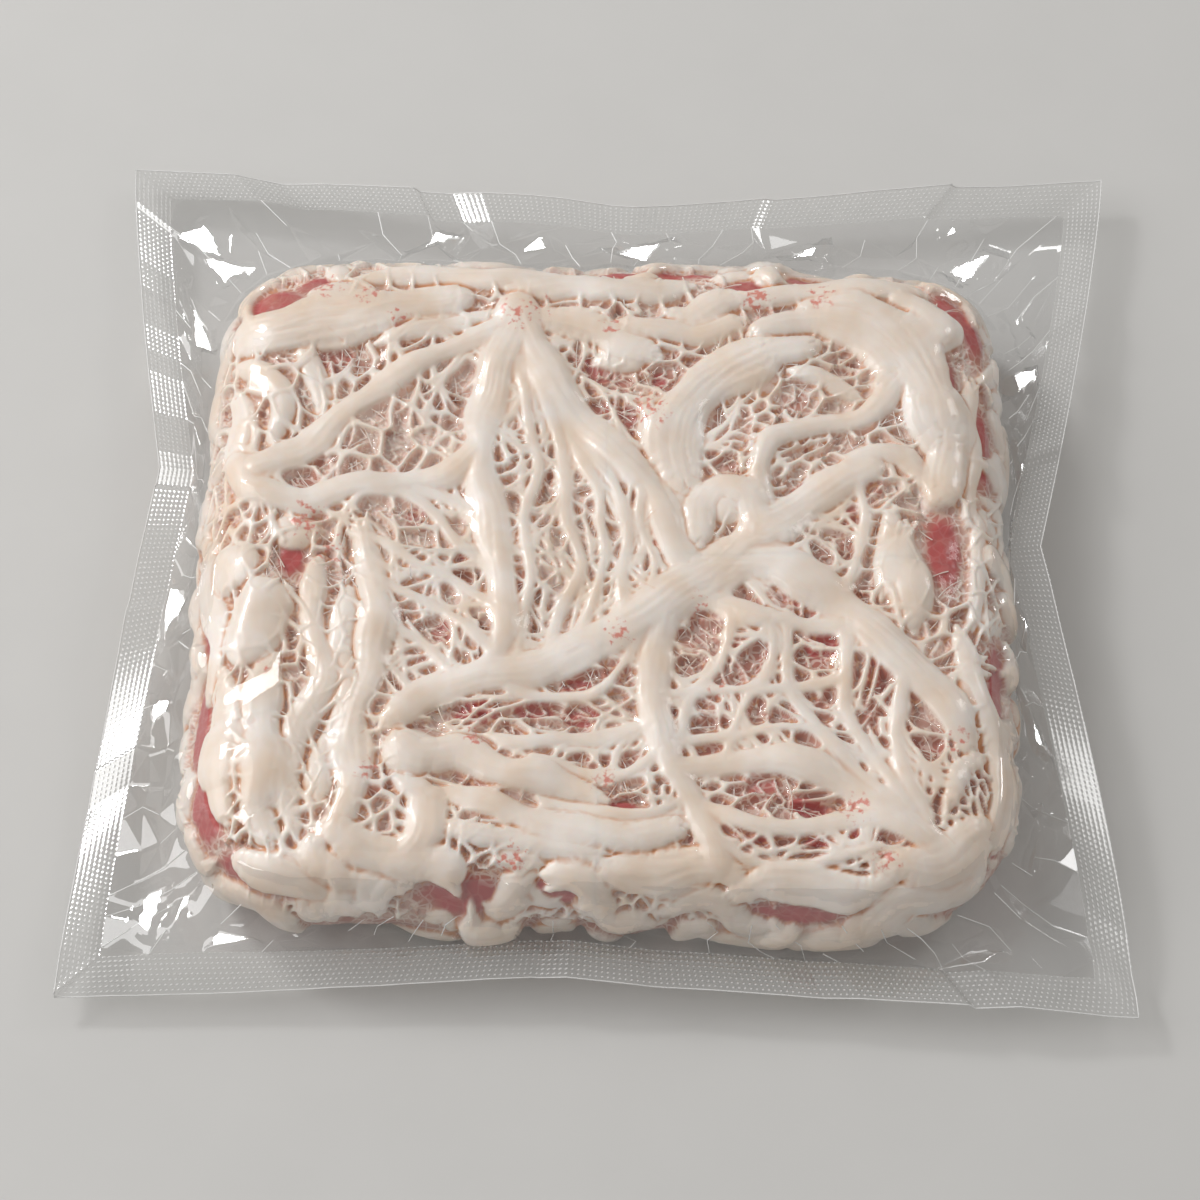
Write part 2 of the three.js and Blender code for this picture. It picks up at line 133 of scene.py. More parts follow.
# Loose ropes and folded sheets: start width, end width, how far they are lifted, and their places.
LOOSE_ROPES = [
    # Along the near left.
    (9, 8, -0.4, [(-60, -4), (-56, -18), (-54, -32), (-55, -46), (-59, -60), (-57, -72), (-60, -84), (-67, -91)]),
    (7, 8, -0.6, [(-68, -14), (-70, -30), (-66, -46), (-71, -60), (-73, -74), (-70, -88)]),
    (6, 6, -0.9, [(-62, -20), (-62, -36), (-60, -50), (-64, -66), (-66, -80)]),
    (9, 9, -0.6, [(-78, -40), (-80, -52), (-78, -66), (-79, -80), (-76, -90)]),
    (9, 8, -0.7, [(-96, -6), (-95, -22), (-92, -36), (-94, -50)]),
    (8, 9, -0.6, [(-90, -44), (-88, -58), (-90, -72), (-86, -84)]),
    (9, 8, -0.2, [(-66, -88), (-64, -94), (-54, -97), (-44, -97)]),
    (8, 8, 0.1, [(-63, -84), (-56, -90), (-46, -92), (-40, -87), (-40, -78), (-47, -73)]),
    (9, 8, -0.6, [(-84, -92), (-76, -96), (-64, -99), (-50, -100)]),
    # Along the near side.
    (11, 7, 0.4, [(-48, -62), (-43, -67), (-34, -66), (-24, -70), (-10, -73), (2, -78)]),
    (7, 9, 0.0, [(-42, -77), (-30, -77), (-18, -81), (-6, -84), (8, -87), (20, -84)]),
    (7, 8, -0.4, [(-36, -84), (-24, -87), (-12, -88), (2, -91)]),
    (9, 8, -0.2, [(0, -93), (12, -95), (26, -93), (36, -97)]),
    (10, 9, 0.0, [(30, -98), (44, -95), (58, -97), (70, -94)]),
    (9, 10, -0.4, [(14, -101), (26, -99), (40, -103)]),
    (10, 8, -0.3, [(56, -102), (68, -99), (80, -96), (88, -90)]),
    (15, 13, -0.2, [(66, -93), (80, -90), (91, -80)]),
    (8, 9, -0.2, [(84, -28), (88, -42), (92, -56), (94, -70), (92, -84)]),
    (7, 6, -0.2, [(90, -62), (84, -68), (80, -78)]),
    # The smooth sheets at the far left.
    (14, 12, -0.4, [(-94, 51), (-80, 53), (-66, 56), (-50, 60), (-36, 62)]),
    (9, 7, -0.8, [(-94, 44), (-84, 38), (-80, 28), (-82, 18)]),
    (8, 6, -1.0, [(-76, 48), (-72, 36), (-70, 26)]),
    (11, 9, -0.8, [(-92, 34), (-90, 22), (-91, 12)]),
    (7, 5, -0.4, [(-58, 48), (-46, 53), (-34, 56), (-26, 58)]),
    (10, 10, -0.8, [(-66, 68), (-48, 71), (-30, 70), (-10, 70)]),
    # The far side, from the apex to the right.
    (10, 9, -0.2, [(-22, 58), (-10, 56), (2, 51), (12, 45)]),
    (9, 8, -0.4, [(-26, 65), (-10, 67), (6, 66), (20, 68)]),
    (11, 9, 0.1, [(14, 60), (20, 58), (26, 62), (34, 64)]),
    (8, 9, -0.4, [(30, 62), (46, 66), (62, 68), (78, 68)]),
    (7, 7, 0.0, [(2, 56), (12, 54), (22, 53), (32, 57)]),
    (15, 12, -0.2, [(70, 66), (78, 60), (82, 52)]),
    # The swirl at the far right.
    (13, 13, 0.2, [(19, 8), (16, 20), (19, 31), (27, 40), (38, 46), (50, 50)]),
    (9, 9, 0.5, [(34, 52), (44, 57), (56, 56), (64, 50), (68, 42), (66, 36)]),
    (16, 16, 0.2, [(48, 60), (62, 58), (73, 48), (79, 34), (82, 20), (81, 6)]),
    (7, 6, 0.3, [(40, 3), (37, 13), (40, 23), (50, 27), (60, 28), (68, 34), (74, 44)]),
    (7, 6, 0.1, [(56, 12), (64, 18), (72, 18), (78, 10)]),
    (5, 5, -0.2, [(44, 42), (54, 40), (62, 34)]),
    (8, 8, 0.5, [(22, -8), (22, 4), (28, 9), (35, 6), (36, -2), (44, -6)]),
    (9, 8, -0.5, [(8, 32), (14, 22), (16, 10), (18, 0)]),
    # The right-hand side.
    (7, 6, -0.6, [(68, 4), (68, -8), (66, -22)]),
    (8, 8, -0.7, [(72, 0), (71, -14), (74, -30)]),
    (5, 6, -0.6, [(90, 4), (90, -12), (88, -28)]),
    (6, 6, -0.8, [(90, 44), (88, 30), (89, 12), (88, 0)]),
]

# Softer lobes of fat: place, half sizes, turn in degrees, and how far they are lifted.
LOBES = [
    (-91, -15, 8, 8, 0, 0.0), (-83, -31, 8, 12, -12, 0.2), (-93, -67, 7, 9, 0, -0.4), (-86, -62, 6, 12, 5, -0.4),
    (-78, -70, 6, 12, 0, -0.2), (-44, -95, 7, 6, 0, -0.2), (-17, -92, 8, 5, 0, -0.4), (-72, -96, 11, 5, 0, -0.6),
    (-68, 63, 8, 5, 0, -0.2), (79, 55, 9, 8, 0, 0.0), (72, -17, 6, 13, 8, -0.2), (3, 47, 8, 5, 0, -0.2),
    (13, 24, 6, 8, 10, -0.4), (28, 4, 7, 7, 0, 0.2), (88, -46, 4, 8, 0, -0.4), (-45, -66, 7, 6, 0, 0.4),
    (2, -98, 12, 6, 0, -0.6), (50, -101, 14, 5, 0, -0.6), (-74, -6, 7, 6, 0, -0.6),
]

# Lace between the ropes: outline, cell size, how much longer the cells are than wide,
# the point they run out from, the strands' mean half width, and how dusky the tissue is below.
# An area that comes later fills only what the ones before it leave free.
LACE = [
    # The loop at the far left.
    ([(-92, 8), (-60, 36), (-30, 54), (-27, 20), (-38, 2), (-78, -3)], 9.0, 1.15, (-20, -30), 0.42, 0.15),
    # The fan below the apex, and beside it.
    ([(-26, 54), (14, 8), (24, -16), (4, -38), (-28, -50), (-33, 0), (-31, 30)], 7.0, 1.9, (-26, 90), 0.45, 0.0),
    ([(-31, 10), (-28, -50), (-56, -60), (-64, -10), (-60, 6)], 6.6, 1.5, (-10, -70), 0.42, 0.15),
    # Far, lower, right and front.
    ([(-24, 54), (14, 8), (34, 2), (24, 50), (0, 62)], 6.4, 1.3, (-30, 70), 0.42, 0.4),
    ([(-52, -58), (-24, -44), (14, -30), (16, -56), (24, -80), (-10, -90), (-50, -72)],
     6.4, 1.8, (80, -66), 0.42, 0.4),
    ([(13, -30), (40, -8), (58, -16), (94, -62), (92, -90), (60, -72), (36, -65), (20, -72), (13, -56)],
     7.0, 1.5, (110, -110), 0.5, 0.55),
    ([(16, -76), (40, -65), (60, -70), (88, -86), (70, -97), (34, -95), (-8, -90)],
     6.4, 1.6, (-60, -84), 0.45, 0.55),
    # The swirl at the far right.
    ([(14, 16), (40, -8), (66, 22), (62, 0), (84, 0), (84, 40), (62, 60), (28, 54), (14, 30)],
     5.2, 1.7, (0, 0), 0.36, 0.15),
    # Everywhere else.
    (None, 6.0, 1.2, (-60, -260), 0.5, 0.3),
]

# Wide holes in the lace: place, half sizes, turn in degrees, and how red it is inside.
HOLES = [
    (-68, 44, 5, 4, 0, 0.8),
    (-62, 55, 7, 2.5, 12, 0.5), (-74, 8, 6, 2, 0, 0.5),
    (-4, 43, 6, 3.5, -30, 0.7), (3, 38, 3, 3.5, 0, 0.7), (-3, 29, 4, 4, 0, 0.6), (4, 28, 3, 3.5, 20, 0.8),
    (12, 40, 2.5, 3, 0, 0.9), (30, 22, 5, 4, 40, 0.1), (45, 35, 5, 3.5, 0, 0.4), (47, 8, 4, 2.5, 30, 0.8),
    (59, 0, 2.5, 5, 0, 0.7), (65, 9, 3, 2, 0, 0.6), (32, -3, 4, 2.5, 0, 0.5),
    (11, -6, 3, 4, 20, 1.0), (-25, -4, 2.2, 4, 0, 0.5), (-14, -4, 2, 4, 0, 0.1), (-7, 8, 2, 4.5, 10, 0.2),
    (-15, 8, 2, 5, 5, 0.0), (-13, -16, 2.6, 4.5, 10, 0.2), (-21, -20, 2, 3.6, 0, 0.5), (-6, -14, 2.4, 4.5, 0, 0.1),
    (2, -12, 2.2, 4.6, -10, 0.0), (-38, -33, 4, 3, 20, 0.8), (-30, -24, 2, 3, 0, 0.5), (-47, -10, 4, 3.6, 0, 0.2),
    (-45, -22, 4, 3.4, 0, 0.2), (-36, -5, 3, 3.6, 0, 0.4), (-45, -41, 3.6, 2.6, 30, 0.5), (-33, -13, 2.6, 3.2, 0, 0.7),
    (-46, -1, 3, 2.6, 0, 0.7), (-52, -32, 3, 3.4, 0, 0.3),
    (39, -18, 3, 2.4, 20, 0.8), (48, -23, 5, 3, -20, 0.8), (52, -35, 5.5, 4, 0, 0.9), (65, -42, 3.6, 6, 0, 0.8),
    (34, -40, 3.4, 7, -10, 0.4), (25, -36, 2.4, 4, -20, 0.4), (62, -55, 2.6, 4.4, -20, 0.6), (77, -57, 5.5, 9, 0, 0.2),
    (52, -52, 2.6, 4, 0, 0.2), (37, -54, 2.6, 4, 0, 0.1), (24, -56, 3, 4.4, 0, 0.2), (25, -64, 2.6, 3, 0, 0.4),
    (16, -36, 2.2, 3, 20, 0.7), (4, -43, 4, 3.4, 20, 0.6), (-6, -47, 4.6, 2.2, 10, 0.9), (-16, -53, 6, 3, 0, 0.9),
    (-29, -55, 6, 4, 0, 1.0), (-4, -55, 6, 3, 0, 0.8), (-12, -73, 7, 2.4, 0, 0.4), (-1, -76, 5, 2.2, -10, 0.5),
    (5, -66, 4, 2.6, 0, 0.6), (38, -72, 5, 2.6, 0, 0.8), (49, -77, 5, 3, 0, 1.0), (57, -76, 3.4, 2, 20, 0.6),
    (36, -87, 3.6, 2.4, 0, 0.8), (50, -87, 4, 2.2, 0, 1.0), (59, -84, 4.6, 2.2, 15, 1.0), (18, -86, 4, 2.4, -10, 0.6),
]

# Red meat that shows between the fat: place and half sizes.
MEAT = [
    (-86, 62, 12, 8), (-75, 68, 6, 5), (-24, 60, 5, 2), (33, 68, 6, 6), (88, 67, 8, 10), (94, 60, 7, 14),
    (83, 42, 4, 6), (95, 24, 8, 14), (82, -8, 6, 12), (-100, -30, 6, 12), (-103, -56, 6, 14), (-97, -80, 8, 14),
    (-86, -98, 10, 6), (-75, -14, 4, 6), (-31, -106, 12, 9), (-10, -104, 8, 6), (99, -84, 6, 12), (100, -40, 5, 12),
    (-25, 77, 18, 5), (8, 77, 20, 4), (56, 77, 22, 5), (5, -80, 5, 2), (-70, -104, 14, 5), (46, -110, 12, 4),
]

# Flecks of blood on the fat: place and reach.
STAINS = [
    (-24, 57, 6), (-18, 60, 5), (-72, 66, 7), (-61, 62, 5), (4, -34, 5), (1, -73, 5), (28, -47, 4), (-54, -71, 4),
    (-72, -4, 7), (-66, -12, 6), (22, -26, 4), (78, 0, 7), (-53, 55, 4), (36, 62, 6), (52, 64, 5), (0, 55, 4),
    (60, -78, 5), (84, -60, 5), (-30, -62, 5), (10, 30, 7), (-79, -45, 4), (-20, -93, 6), (66, -92, 5),
]


# ---- shape of the bundle -----------------------------------------------------

def swelling(x, y):
    turn = 2 * math.pi / LUMP_LENGTH
    wave = np.sin(x * turn + 1.3 * np.sin(y * turn * 0.6)) + np.sin(y * turn * 1.2 + x * turn * 0.4)
    return LUMP_HEIGHT * wave / 2


def inset_at(x, y):
    """How far a place lies inside the bundle's outline, seen from above."""
    sideways = np.abs(x - CENTRE.x) - (HALF.x - CORNER_RADIUS)
    along = np.abs(y - CENTRE.y) - (HALF.y - CORNER_RADIUS)
    outside = np.hypot(np.maximum(sideways, 0), np.maximum(along, 0))
    return CORNER_RADIUS - outside - np.minimum(np.maximum(sideways, along), 0)


def round_off(inset, width):
    t = np.clip(1 - inset / width, 0, 1)
    return np.sqrt(1 - t * t)


def bundle_top(x, y):
    share = round_off(inset_at(x, y), SHOULDER)
    return SEAM + 1 + (TOP + swelling(x, y) - SEAM - 1) * share


def bundle_foot(x, y):
    return (SEAM - 1) * (1 - round_off(inset_at(x, y), FOOT_INSET))


def on_rounded_rectangle(u, v, half_x, half_y, radius):
    """A point of a rounded rectangle, where (u, v) lies on the edge of the unit square."""
    corner_x, corner_y = np.copysign(half_x - radius, u), np.copysign(half_y - radius, v)
    past_x, past_y = u * half_x - corner_x, v * half_y - corner_y
    turns = (past_x * u > 0) & (past_y * v > 0)
    pull = np.where(turns, radius / (np.hypot(past_x, past_y) + 1e-9), 1)
    return corner_x + past_x * pull, corner_y + past_y * pull


def on_side(angle, height):
    """A point on the bundle's side: the way it faces from the middle, and its height."""
    rise = (height - SEAM) / (TOP - SEAM) if height > SEAM else (SEAM - height) / SEAM
    width = SHOULDER if height > SEAM else FOOT_INSET
    inset = width * (1 - math.sqrt(max(1 - rise * rise, 0)))
    reach = max(abs(math.cos(angle)), abs(math.sin(angle)))
    x, y = on_rounded_rectangle(math.cos(angle) / reach, math.sin(angle) / reach,
                                HALF.x - inset, HALF.y - inset, CORNER_RADIUS - inset)
    return Vector((CENTRE.x + x, CENTRE.y + y, height))


# ---- shape of the pouch's border ---------------------------------------------

def drawn_in(side, place):
    depth, at = PINCH[side]
    reach = 1 + at if place < at else 1 - at
    return depth * max(1 - abs(place - at) / reach, 0) ** 1.25


def pouch_edge(u, v):
    """The pouch's outer edge, where (u, v) lies on the edge of the unit square."""
    x, y = u * POUCH_X, v * POUCH_Y
    if abs(u) >= abs(v):
        pull = drawn_in("left" if u < 0 else "right", v)
        x -= math.copysign(pull, u)
    else:
        pull = drawn_in("near" if v < 0 else "far", u)
        y -= math.copysign(pull, v)
    return Vector((x, y, CORNER_HEIGHT + pull * PINCH_LIFT))


# ---- small helpers -----------------------------------------------------------

def linear(text):
    """An sRGB hex colour, turned linear."""
    parts = [int(text[i:i + 2], 16) / 255 for i in (0, 2, 4)]
    return tuple(c / 12.92 if c <= 0.04045 else ((c + 0.055) / 1.055) ** 2.4 for c in parts) + (1.0,)


def material(name):
    made = bpy.data.materials.new(name)
    made.use_nodes = True
    made.node_tree.nodes.clear()
    return made, made.node_tree


def node(tree, kind, settings=None, out=0, **links):
    """Adds a shader node and gives back one of its outputs.

    A link's name is the socket's, with _ for spaces, or _ and its number. Its value is a value or another socket.
    """
    made = tree.nodes.new("ShaderNode" + kind)
    for key, value in (settings or {}).items():
        setattr(made, key, value)
    for key, value in links.items():
        socket = made.inputs[int(key[1:])] if key[1:].isdigit() else made.inputs[key.replace("_", " ")]
        if isinstance(value, bpy.types.NodeSocket):
            tree.links.new(value, socket)
        else:
            socket.default_value = value
    return made.outputs[out] if len(made.outputs) else None


def add_object(name, data):
    added = bpy.data.objects.new(name, data)
    scene.collection.objects.link(added)
    return added


def object_from(name, bm):
    mesh = bpy.data.meshes.new(name)
    bm.to_mesh(mesh)
    bm.free()
    return add_object(name, mesh)


def write_attribute(mesh, name, values):
    attribute = mesh.attributes.new(name, "FLOAT", "POINT")
    attribute.data.foreach_set("value", np.asarray(values, float))


def tubes(name, strands, radius, closed=False):
    """A mesh of thin tubes along strands, which are lists of (place, share of the radius)."""
    curve = bpy.data.curves.new(name, "CURVE")
    curve.dimensions = "3D"
    curve.bevel_depth = radius
    curve.bevel_resolution = 0
    for strand in strands:
        spline = curve.splines.new("POLY")
        spline.points.add(len(strand) - 1)
        spline.use_cyclic_u = closed
        for point, (place, share) in zip(spline.points, strand):
            point.co = (*place, 1)
            point.radius = share
    holder = add_object(name, curve)
    mesh = bpy.data.meshes.new_from_object(holder.evaluated_get(bpy.context.evaluated_depsgraph_get()))
    bpy.data.objects.remove(holder)
    bpy.data.curves.remove(curve)
    return add_object(name, mesh)


def finish_piece(piece, finish, casts=True):
    """Scales a piece to metres, gives it its finish and sets it on the frame. Clear film casts no shadow."""
    piece.data.transform(METRES)
    piece.data.materials.clear()
    piece.data.materials.append(finish)
    for polygon in piece.data.polygons:
        polygon.use_smooth = True
    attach(piece, BODY)
    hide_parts(NODE)
    piece.visible_shadow = casts
    return piece


# ---- ropes of fat ------------------------------------------------------------

ROUTE_STEP = 2.5
ROUTE_WANDER, ROUTE_WAVE = 1.1, 0.075
WIDTH_CHANGE, WIDTH_WAVE = 0.42, 0.085
TIP_LENGTH = 1.2
TWIG_STEP = 1.8
TWIG_CHANCE = 0.17
SIDE_ROPES = 130


def smooth_route(places):
    """Points at even steps on the smooth curve through a few places."""
    places = [Vector(p) for p in places]
    ends = [2 * places[0] - places[1]] + places + [2 * places[-1] - places[-2]]
    fine = []
    for i in range(1, len(ends) - 2):
        a, b, c, d = ends[i - 1:i + 3]
        count = max(2, round((c - b).length / ROUTE_STEP))
        for k in range(count):
            t = k / count
            fine.append(0.5 * (2 * b + (c - a) * t + (2 * a - 5 * b + 4 * c - d) * t * t
                               + (3 * b - a - 3 * c + d) * t ** 3))
    return fine + [places[-1]]


def laid(places):
    """A smooth, slightly wandering route that lies on the bundle."""
    route = smooth_route([(x, y, 0) for x, y in places])
    for place in route:
        place += ROUTE_WANDER * noise.noise_vector(place * ROUTE_WAVE)
        place.z = bundle_top(place.x, place.y)
    return route


class Rope:
    """A route with its half width at every step."""

    def __init__(self, route, start, end, lift=0.0, free=(True, True)):
        self.route = route
        self.lift = lift
        last = len(route) - 1
        widest = max(start, end)
        self.half = []
        for i, place in enumerate(route):
            width = start + (end - start) * i / last
            width *= 1 + WIDTH_CHANGE * noise.noise(place * WIDTH_WAVE + Vector((7, 3, start)))
            for from_end, is_free in ((i, free[0]), (last - i, free[1])):
                if is_free:
                    width *= min(1, 0.3 + 0.7 * math.sqrt(from_end * ROUTE_STEP / (TIP_LENGTH * widest)))
            self.half.append(width / 2)


def net_ropes():
    """The ropes of the net. Only ends that meet no other rope run out thin."""
    routes = [laid(places) for _, _, places in NET_ROPES]
    ropes = []
    for n, (start, end, _) in enumerate(NET_ROPES):
        others = [place for k, route in enumerate(routes) if k != n for place in route]
        free = [min((place - tip).length for place in others) > 7 for tip in (routes[n][0], routes[n][-1])]
        ropes.append(Rope(routes[n], start, end, free=free))
    return ropes


def twig(spot, heading, turn, length, thick, tip, draw):
    """One thin branch and its own smaller ones, as lists of (place, half width)."""
    steps = max(4, round(length / TWIG_STEP))
    strand, found = [], []
    for k in range(steps + 1):
        place = Vector((spot.x, spot.y, bundle_top(spot.x, spot.y)))
        strand.append((place, thick + (tip - thick) * k / steps))
        if thick > 0.6 and k > 2 and draw.random() < 0.4:
            bend = draw.choice((-1, 1)) * draw.uniform(0.5, 0.95)
            found.append((spot.copy(), heading.copy(), bend, thick * 0.6))
        heading = heading.copy()
        heading.rotate(Matrix.Rotation(turn / 3 if k < 3 else draw.uniform(-0.12, 0.12), 2))
        spot = spot + heading * TWIG_STEP
    strands = [strand]
    for place, way, bend, size in found:
        strands += twig(place, way, bend, draw.uniform(5, 10), size, 0.2, draw)
    return strands


def twigs(ropes, seed):
    """Thin branches that split off both sides of the ropes at a sharp angle."""
    draw = random.Random(seed)
    strands = []
    for rope in ropes:
        for i in range(1, len(rope.route) - 1):
            for side in (-1, 1):
                if draw.random() > TWIG_CHANCE:
                    continue
                ahead = rope.route[i + 1] - rope.route[i - 1]
                way = 1 if draw.random() < 0.7 else -1
                heading = Vector((ahead.x, ahead.y)).normalized() * way
                out = Vector((-ahead.y, ahead.x)).normalized() * side
                spot = Vector((rope.route[i].x, rope.route[i].y)) + out * rope.half[i] * 0.5
                thick = draw.uniform(0.5, 1.1) * min(1, rope.half[i] / 2)
                strands += twig(spot, heading, side * way * draw.uniform(0.6, 1.05), draw.uniform(9, 20), thick,
                                0.25, draw)
    made = []
    for strand in strands:
        rope = Rope([place for place, _ in strand], 1, 1)
        rope.half = [half for _, half in strand]
        made.append(rope)
    return made


def side_ropes(seed):
    """Folds of fat that run round the side of the bundle, in uneven lengths."""
    draw = random.Random(seed)
    ropes = []
    for i in range(SIDE_ROPES):
        angle = 2 * math.pi * (i + draw.random()) / SIDE_ROPES
        height = draw.uniform(2, 27)
        span = draw.uniform(0.03, 0.2) * draw.choice((-1, 1))
        rise = draw.uniform(-15, 15)
        places = []
        for k in range(6):
            t = k / 5 - 0.5
            level = min(max(height + rise * t + 3 * math.sin(t * 5 + i), 1.5), 30)
            places.append(on_side(angle + span * t, level))
        ropes.append(Rope(smooth_route(places), draw.uniform(6, 12), draw.uniform(6, 12), draw.uniform(-2.0, 0.3)))
    return ropes


# ---- the skin of the bundle: tissue, lace and ropes as one surface -----------

SKIN_ACROSS, SKIN_DEEP = 600, 560
FOOT_ACROSS, FOOT_DEEP = 240, 220
# The share of the grid that lies on top, before it turns down over the shoulder.
PLATEAU = 0.78
# How far the tissue lies below the bundle's shape, and how far the sides bulge in and out.
SUNK = 2.6
BULGE, BULGE_LENGTH = 2.9, 27.0
# Near the floor the bundle is pressed flat.
PRESSED = 5.0
LACE_LEVEL, FINE_LEVEL, FLOOR_LEVEL = 2.1, 0.8, 0.2
ROPE_LEVEL, ROPE_RISE, ROPE_FULL, ROPE_FLANK = 1.8, 3.0, 3.6, 1.5
STRAND_RISE, STRAND_FLANK = 0.6, 2.6
FIBRE_HEIGHT, FIBRE_WIDTH, FIBRE_WAVE = 0.12, 1.3, 0.09
# How softly shapes run together where they meet.
NET_JOIN, TWIG_JOIN, LACE_JOIN, LOOSE_JOIN, LOBE_JOIN = 1.7, 0.8, 1.0, 1.2, 2.0
# How far from a rope's side places are looked for and shaped, and a distance that is far from any strand.
ROPE_REACH, ROPE_END, FAR_OFF = 5.0, 8, 9.0
# The share of strands that are missing, and how even the scattered points of a net are.
GAPS, SCATTER = 0.14, 0.84
# Filaments: half width, step, and how far they stay inside the bundle's outline.
FILAMENT, FILAMENT_STEP, SHY = 0.13, 1.7, 14


def smooth_min(a, b, reach):
    """The lower of two fields with a soft join, and the first one's share in it."""
    share = np.clip(0.5 + 0.5 * (b - a) / reach, 0, 1)
    return b + (a - b) * share - reach * share * (1 - share), share


def smooth_max(a, b, reach):
    return -smooth_min(-a, -b, reach)[0]


def step_up(value, start, end):
    """0 up to start, 1 from end on, and a soft step between."""
    t = np.clip((value - start) / (end - start), 0, 1)
    return t * t * (3 - 2 * t)


def rough(places, size, seed):
    """Smooth noise, about -1 to 1, with lumps of a size in millimetres."""
    scaled = (places / size + seed * 7.3).tolist()
    return np.array([noise.noise(place) for place in scaled])


def scatter(i, j, seed):
    """An even random number from 0 to 1 for each pair of whole numbers."""
    n = (i * 374761393 + j * 668265263 + seed * 974634777) & 0xFFFFFFFF
    n = ((n ^ (n >> 13)) * 1274126177) & 0xFFFFFFFF
    return ((n ^ (n >> 16)) & 0xFFFFF) / 0x100000


def net(x, y, cell, stretch, pole, half, seed, rounding):
    """How far each place lies past the side of the nearest strand of a net; below 0 inside it.

    The net's cells surround scattered points and run out from a pole. Strands have uneven widths,
    and some are missing, so that their cells run together.
    """
    away_x, away_y = x - pole[0], y - pole[1]
    middle_x, middle_y = away_x.mean(), away_y.mean()
    middle = math.hypot(middle_x, middle_y)
    reach = np.hypot(away_x, away_y) + 1e-6
    turned = np.arctan2(away_y * middle_x - away_x * middle_y, away_x * middle_x + away_y * middle_y)
    long, wide = cell * math.sqrt(stretch), cell / math.sqrt(stretch)
    a = middle * np.log(reach / middle) / long
    b = middle * turned / wide
    a, b = a + 0.3 * np.sin(b * 0.7 + seed) + 0.2 * np.sin(b * 1.9), b + 0.3 * np.sin(a * 0.9 + seed * 2)
    grown = reach / middle
    column, row = np.floor(a).astype(int), np.floor(b).astype(int)
    seeds = []
    nearest = np.full(x.shape, 1e9)
    near_a, near_b, near_key = np.zeros(x.shape), np.zeros(x.shape), np.zeros(x.shape)
    for i in range(-2, 3):
        for j in range(-2, 3):
            key = scatter(column + i, row + j, seed + 5)
            seed_a = column + i + 0.5 * (row + j & 1) + SCATTER * scatter(column + i, row + j, seed)
            seed_b = row + j + SCATTER * scatter(column + i, row + j, seed + 1)
            distance = (seed_a - a) ** 2 + (seed_b - b) ** 2
            seeds.append((seed_a, seed_b, key, distance))
            closer = distance < nearest
            nearest = np.where(closer, distance, nearest)
            near_a, near_b = np.where(closer, seed_a, near_a), np.where(closer, seed_b, near_b)
            near_key = np.where(closer, key, near_key)
    total = np.zeros(x.shape)
    for seed_a, seed_b, key, distance in seeds:
        off_a, off_b = seed_a - near_a, seed_b - near_b
        apart = np.hypot(off_a, off_b)
        other = apart > 1e-9
        apart = np.where(other, apart, 1)
        steep = np.where(other, np.hypot(off_a / long, off_b / wide), 1) / apart
        border = (distance - nearest) / (2 * apart) / steep * grown
        pick = (key + near_key) * 57.31 % 1
        width = half * (0.5 + 1.3 * pick ** 2)
        width = np.where((key * near_key * 91.7) % 1 < GAPS, -1.5, width)
        total += np.where(other, np.exp(-rounding * np.clip(border - width, -3, FAR_OFF)), 0)
    return -np.log(total + 1e-9) / rounding


def inside(outline, x, y):
    """Which places lie inside an outline of (x, y) corners."""
    hit = np.zeros(x.shape, bool)
    for (ax, ay), (bx, by) in zip(outline, outline[1:] + outline[:1]):
        if ay != by:
            hit ^= ((ay > y) != (by > y)) & (x < ax + (y - ay) / (by - ay) * (bx - ax))
    return hit


def ellipse(x, y, middle_x, middle_y, wide, deep, turn=0):
    """How far places lie from the middle of a turned ellipse, as a share of its reach."""
    c, s = math.cos(math.radians(turn)), math.sin(math.radians(turn))
    return np.hypot(((x - middle_x) * c + (y - middle_y) * s) / wide,
                    ((y - middle_y) * c - (x - middle_x) * s) / deep)


class Field:
    """Places on the bundle, sorted by X so that those near a rope are found quickly."""

    def __init__(self, places):
        self.order = np.argsort(places[:, 0])
        self.places = places[self.order]

    def near(self, low, high):
        first, last = np.searchsorted(self.places[:, 0], (low[0], high[0]))
        y = self.places[first:last, 1]
        return first + np.nonzero((y > low[1]) & (y < high[1]))[0]

    def past_rope(self, rope):
        """Near a rope: which places, how far past its side, half width, share across, length along."""
        count = len(self.places)
        past, half, across, along = (np.full(count, start) for start in (FAR_OFF, 1.0, 0.0, 0.0))
        run = 0.0
        route = [np.array(place) for place in rope.route]
        for a, b, half_a, half_b in zip(route, route[1:], rope.half, rope.half[1:]):
            margin = max(half_a, half_b) + ROPE_REACH
            some = self.near(np.minimum(a, b) - margin, np.maximum(a, b) + margin)
            step = b - a
            length = np.sqrt(step @ step) + 1e-9
            off = self.places[some] - a
            t = np.clip(off @ step / length ** 2, 0, 1)
            off = off - t[:, None] * step
            distance = np.sqrt((off * off).sum(1))
            wide = half_a + (half_b - half_a) * t
            closer = distance - wide < past[some]
            some, t, off, distance, wide = some[closer], t[closer], off[closer], distance[closer], wide[closer]
            past[some] = distance - wide
            half[some] = wide
            side = (off[:, 0] * step[1] - off[:, 1] * step[0]) / length
            across[some] = np.copysign(distance, side) / wide
            along[some] = run + t * length
            run += length
        some = np.nonzero(past < ROPE_END)[0]
        return some, past[some], half[some], across[some], along[some]


